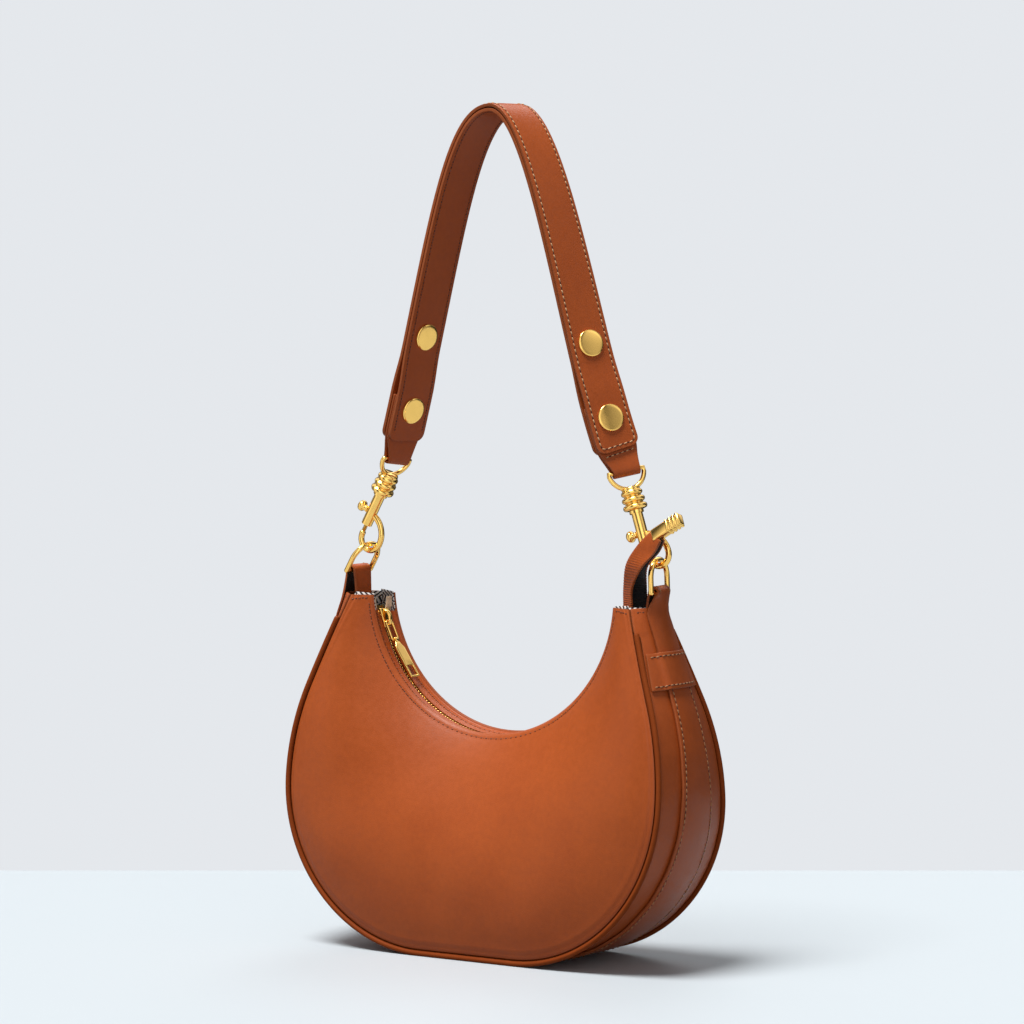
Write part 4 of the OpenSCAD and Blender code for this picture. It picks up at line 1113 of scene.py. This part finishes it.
class BAG_OT_strap(BagPart, bpy.types.Operator):
    """Adds the two plies of the strap with topstitching on the outer one"""
    bl_idname = "bag.strap"
    bl_label = "Strap plies"

    def build(self):
        stations, halves = ply_stations()
        for name, face in (("outer", -1), ("inner", 1)):
            rows = [[ply_point(face, t, half*c) for c in (-1, -0.92, -0.7, -0.4, 0, 0.4, 0.7, 0.92, 1)]
                    for t, half in zip(stations, halves)]
            leather_sheet("strap_" + name, rows, PLY - 0.25, face*strap_face(1), round_share=1.2)
        start, inset = TAB_BARE + PLY_CORNER, 2.3
        ts, bend = spread(260, strap_t(-1, start), strap_t(1, start)), PLY_CORNER - inset

        def seam(face, t, y):
            return ply_point(face, t, y, 0.04), face*strap_face(t)

        outer, inner = [], []
        for edge in (-1, 1):
            inner.append([seam(1, t, edge*(STRAP_W/2 - inset)) for t in ts[::-edge]])
            outer += [seam(-1, t, edge*(STRAP_W/2 - inset)) for t in ts[::-edge]]
            for side, turns in ((edge, spread(7, 0, 90)), (-edge, spread(7, 90, 0))):
                for a in turns:
                    y = side*(STRAP_W/2 - PLY_CORNER + bend*math.cos(math.radians(a)))
                    outer.append(seam(-1, strap_t(-edge, start - bend*math.sin(math.radians(a))), y))
        stitches("strap_outer_stitches", [outer], "light_thread", body="strap")
        stitches("strap_inner_stitches", inner, "brown_thread", body="strap", fill=MOUTH_FILL)


def eye_way(side):
    w, up = strap_side(0 if side < 0 else 2), SNAP_UP[side]
    return (w - w.dot(up)*up).normalized()


class BAG_OT_strap_tabs(BagPart, bpy.types.Operator):
    """Adds the folded tabs that join the strap to the swivel eyes"""
    bl_idname = "bag.strap_tabs"
    bl_label = "Strap tabs"

    def build(self):
        def spot(side, face, d, across):
            t = strap_t(side, d)
            lift = 1.6 + lerp(1.6, 0, smooth(d/14))
            return strap_point(t) + strap_side(t)*across + face*strap_face(t)*lift

        def half(d):
            return lerp(eye_half, 12, smooth(d/16))

        eye_half, bend, stitched = 7.7, 3.2, 10.2
        dists = [TAB_REACH, 34, 30, 26, 22, 19, 16, 13.5, 11, 9, 7, 5]
        steps = crowded(8, -1, 1, 0.4)
        for name, side in SIDES:
            across, down = eye_way(side), -SNAP_UP[side]
            out = side*across.cross(down)
            legs = [[[spot(side, face, d, half(d)*c) for c in steps] for d in dists] for face in (1, -1)]
            fold = []
            for u in spread(12, -90, 90):
                a = math.radians(u)
                fold.append([EYE[side] + across*eye_half*c + bend*(math.cos(a)*down - math.sin(a)*out) for c in steps])
            leather_sheet(name + "_strap_tab", eased(legs[0] + fold + legs[1][::-1]), 1.35, down)
            face_way = -strap_face(strap_t(side, stitched))
            line = [(spot(side, -1, stitched, (half(stitched) - 1.6)*c) + 0.05*face_way, face_way)
                    for c in spread(12, -1, 1)]
            stitches(name + "_strap_tab_stitches", [line], "light_thread", body="strap", share=0.85)


# Turned pieces as (radius, height): a rivet's cap above the leather, a swivel's ridged head, a trigger
RIVET_CAP = [(1.5, -0.3), (7.0, -0.1), (7.45, 0.25), (7.5, 0.7), (7.3, 1.1), (6.7, 1.3), (5.5, 1.38), (3, 1.5),
             (0, 1.55)]
SWIVEL_HEAD = [(2.4, 0.1), (5.2, 0.1), (6.3, 0.5), (6.7, 1.3), (6.7, 2.1), (6.2, 2.9), (5.1, 3.3), (4.9, 3.8),
               (5.2, 4.2), (6.0, 4.6), (6.4, 5.4), (6.4, 6.1), (5.9, 6.9), (4.9, 7.3), (4.7, 7.8),
               (5.0, 8.2), (5.7, 8.6), (6.0, 9.3), (5.9, 10.0), (5.4, 10.7), (4.9, 11.1),
               (5.1, 11.6), (4.9, 12.4), (4.0, 12.9), (0, 13)]
TRIGGER_ROD = [(0, -3.9), (1.1, -3.9), (1.1, 5.1), (1.85, 5.1), (1.85, 10.1), (0, 10.1)]
TRIGGER_KNOB = [(0, 0), (0.7, 0), (0.7, 3.4), (1.9, 3.4), (1.75, 4.6), (1.8, 5.4), (2.4, 6.0), (3.0, 6.6), (3.2, 7.3),
                (3.15, 8.1), (2.75, 8.9), (2.0, 9.5), (1.0, 9.85), (0, 9.9)]


class BAG_OT_rivets(BagPart, bpy.types.Operator):
    """Adds the domed rivet caps on both faces of the strap"""
    bl_idname = "bag.rivets"
    bl_label = "Rivets"

    def build(self):
        for name, side in SIDES:
            parts = []
            for d in (30, 72):
                t = strap_t(side, d)
                base = half_gap(t) + PLY
                seat = axes(strap_point(t), strap_way(t), -strap_side(t), strap_face(t))
                profile = [(1.5, 0)] + [(r, base + z) for r, z in RIVET_CAP]
                parts += [lathe(profile, seat @ Matrix.Rotation(turn, 4, "X"), 48) for turn in (0, math.pi)]
            gilt_part(name + "_rivets", parts)


class BAG_OT_hardware(BagPart, bpy.types.Operator):
    """Adds the swivels, triggers and springs, and finishes the rings and hooks"""
    bl_idname = "bag.hardware"
    bl_label = "Rings and snaps"

    def build(self):
        head_rise, knob_rise, eye_r = 20.8, 7.6, 10.1
        bow = [circle(eye_r, a) for a in range(-172, -7, 8)]
        loop = [Vector((p.x, 0, p.y)) for p in bow] + [Vector((x, 0, 0)) for x in (9.9, 8.2, 4, 0, -4, -8.2, -9.9)]
        for name, side in SIDES:
            up, bar = SNAP_UP[side], eye_way(side)
            out = Vector((up.z, 0, -up.x))
            head = lathe(SWIVEL_HEAD, axes(SNAP[side] + up*head_rise, bar, up.cross(bar), up), 48)
            eye = tube(loop, 1.3, 16, closed=True, where=axes(EYE[side], bar, up.cross(bar), up))
            gilt_part(name + "_swivel_eye", [head, eye], name=name + "_swivel_gilt")

            seat = axes(SNAP[side], out, up.cross(out), up)
            knob = lathe(TRIGGER_KNOB, axes(SNAP[side] + up*knob_rise, up.cross(out), up, -out), 36)
            gilt_part(name + "_trigger", [lathe(TRIGGER_ROD, seat, 24), knob])
            turns = [circle(1.45, a, 10.65 + 7.6*a/1800) for a in range(0, 1801, 20)]
            spring = place(name + "_spring_coil", tube(turns, 0.22, 8, round_ends=True, where=seat), ["steel"],
                           node=name + "_snap_spring", slot="spring_steel")
            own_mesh(spring)
        refinish("gilt", "left_ring", "right_ring", "left_snap", "right_snap")


CAMERA_TURN = 34.0


class BAG_OT_stage(BagPart, bpy.types.Operator):
    """Adds the plain floor, the soft studio lights and the camera"""
    bl_idname = "bag.stage"
    bl_label = "Stage"

    def aim(self, name, data, turn, rise, distance, target=Vector()):
        """Adds a lamp or camera that looks at a target from an azimuth and elevation in degrees"""
        a, e = math.radians(turn), math.radians(rise)
        back = Vector((math.sin(a)*math.cos(e), -math.cos(a)*math.cos(e), math.sin(e)))
        made = add_object(name, data)
        made.location = target + back*distance
        made.rotation_euler = (-back).to_track_quat("-Z", "Y").to_euler()
        return made

    def seen(self, tree):
        """One where the camera, a reflection or a view through something sees the surface"""
        path = node(tree, "LightPath")
        seen = sum_of(tree, "MAXIMUM", path.outputs["Is Camera Ray"], path.outputs["Is Glossy Ray"])
        return sum_of(tree, "MAXIMUM", seen, path.outputs["Is Transmission Ray"])

    def build(self):
        bm = bmesh.new()
        half, behind = 1.6, 0.32
        bmesh.ops.create_grid(bm, x_segments=1, y_segments=1, size=half)
        bmesh.ops.translate(bm, vec=(0, behind - half, 0), verts=bm.verts[:])
        bmesh.ops.rotate(bm, matrix=Matrix.Rotation(math.radians(CAMERA_TURN), 3, "Z"), verts=bm.verts[:])
        floor = add_object("floor", bpy.data.meshes.new("floor"))
        bm.to_mesh(floor.data)
        bm.free()
        made, tree, skin = fresh("pale_floor")
        tree.links.new(mixed(tree, self.seen(tree), (0.16, 0.17, 0.18), (0.58, 0.63, 0.66)), skin.inputs["Base Color"])
        skin.inputs["Roughness"].default_value = 0.6
        floor.data.materials.append(made)

        world = bpy.data.worlds.new("studio")
        bpy.context.scene.world = world
        world.use_nodes = True
        tree = world.node_tree
        way = node(tree, "SeparateXYZ", {0: node(tree, "TexCoord").outputs["Generated"]})
        round_about = sum_of(tree, "ARCTAN2", way.outputs[1], way.outputs[0])
        bands = sum_of(tree, "ABSOLUTE", sum_of(tree, "SINE", sum_of(tree, "MULTIPLY_ADD", round_about, 2.5, 0.9)))
        sky = remap(tree, sum_of(tree, "POWER", bands, 1.7), 0.0, 1.0, 0.04, 1.4)
        front = remap(tree, way.outputs[1], -0.3, 0.5, 1.0, 0.1)
        above = remap(tree, way.outputs[2], 0.2, 0.45, 0.0, 1.0)
        sky = sum_of(tree, "MULTIPLY", sky, sum_of(tree, "MAXIMUM", front, above))
        mirror = node(tree, "LightPath").outputs["Is Glossy Ray"]
        plain = remap(tree, self.seen(tree), 0.0, 1.0, 0.17, 0.84)
        strength = node(tree, "Mix", {0: mirror, 2: plain, 3: sky}).outputs[0]
        ground = tree.nodes["Background"]
        ground.inputs["Color"].default_value = (0.93, 0.96, 1, 1)
        tree.links.new(strength, ground.inputs["Strength"])

        for name, turn, rise, soft, power in (
                ("key", -24, 71, 24, 3.8), ("fill", 45, 12, 60, 0.42), ("back", 205, 45, 30, 0.4)):
            lamp = bpy.data.lights.new(name, "SUN")
            lamp.angle, lamp.energy = math.radians(soft), power
            self.aim(name, lamp, turn, rise, 2)

        camera = self.aim("camera", bpy.data.cameras.new("camera"), CAMERA_TURN, 3.37, 2.372,
                          Vector((0.00687, 0, 0.2459)))
        camera.data.lens, camera.data.sensor_width = 150.81, 36
        bpy.context.scene.camera = camera
        bpy.context.scene.view_settings.view_transform = "Standard"


PARTS = (BAG_OT_stage, BAG_OT_panels, BAG_OT_gusset, BAG_OT_band, BAG_OT_piping, BAG_OT_keepers, BAG_OT_ring_tabs,
         BAG_OT_zip_facings, BAG_OT_zip_tapes, BAG_OT_zip_teeth, BAG_OT_zip_pull, BAG_OT_zip_tail, BAG_OT_lining,
         BAG_OT_strap, BAG_OT_strap_tabs, BAG_OT_rivets, BAG_OT_hardware)


class BAG_PT_sidebar(bpy.types.Panel):
    """Lists the bag's colours, sizes and parts"""
    bl_idname = "BAG_PT_sidebar"
    bl_label = "Half moon bag"
    bl_space_type = "VIEW_3D"
    bl_region_type = "UI"
    bl_category = "Bag"

    def draw(self, context):
        for group in (context.scene.bag_colours, context.scene.bag_sizes):
            for name in group.__annotations__:
                self.layout.prop(group, name)
        for part in PARTS:
            self.layout.operator(part.bl_idname)


CLASSES = (BagColours, BagSizes, *PARTS, BAG_PT_sidebar)


def register():
    for each in CLASSES:
        bpy.utils.register_class(each)
    bpy.types.Scene.bag_colours = PointerProperty(type=BagColours)
    bpy.types.Scene.bag_sizes = PointerProperty(type=BagSizes)


def unregister():
    del bpy.types.Scene.bag_sizes
    del bpy.types.Scene.bag_colours
    for each in reversed(CLASSES):
        bpy.utils.unregister_class(each)


def main():
    register()
    for part in PARTS:
        group, name = part.bl_idname.split(".")
        getattr(getattr(bpy.ops, group), name)()


if __name__ == "__main__":
    main()
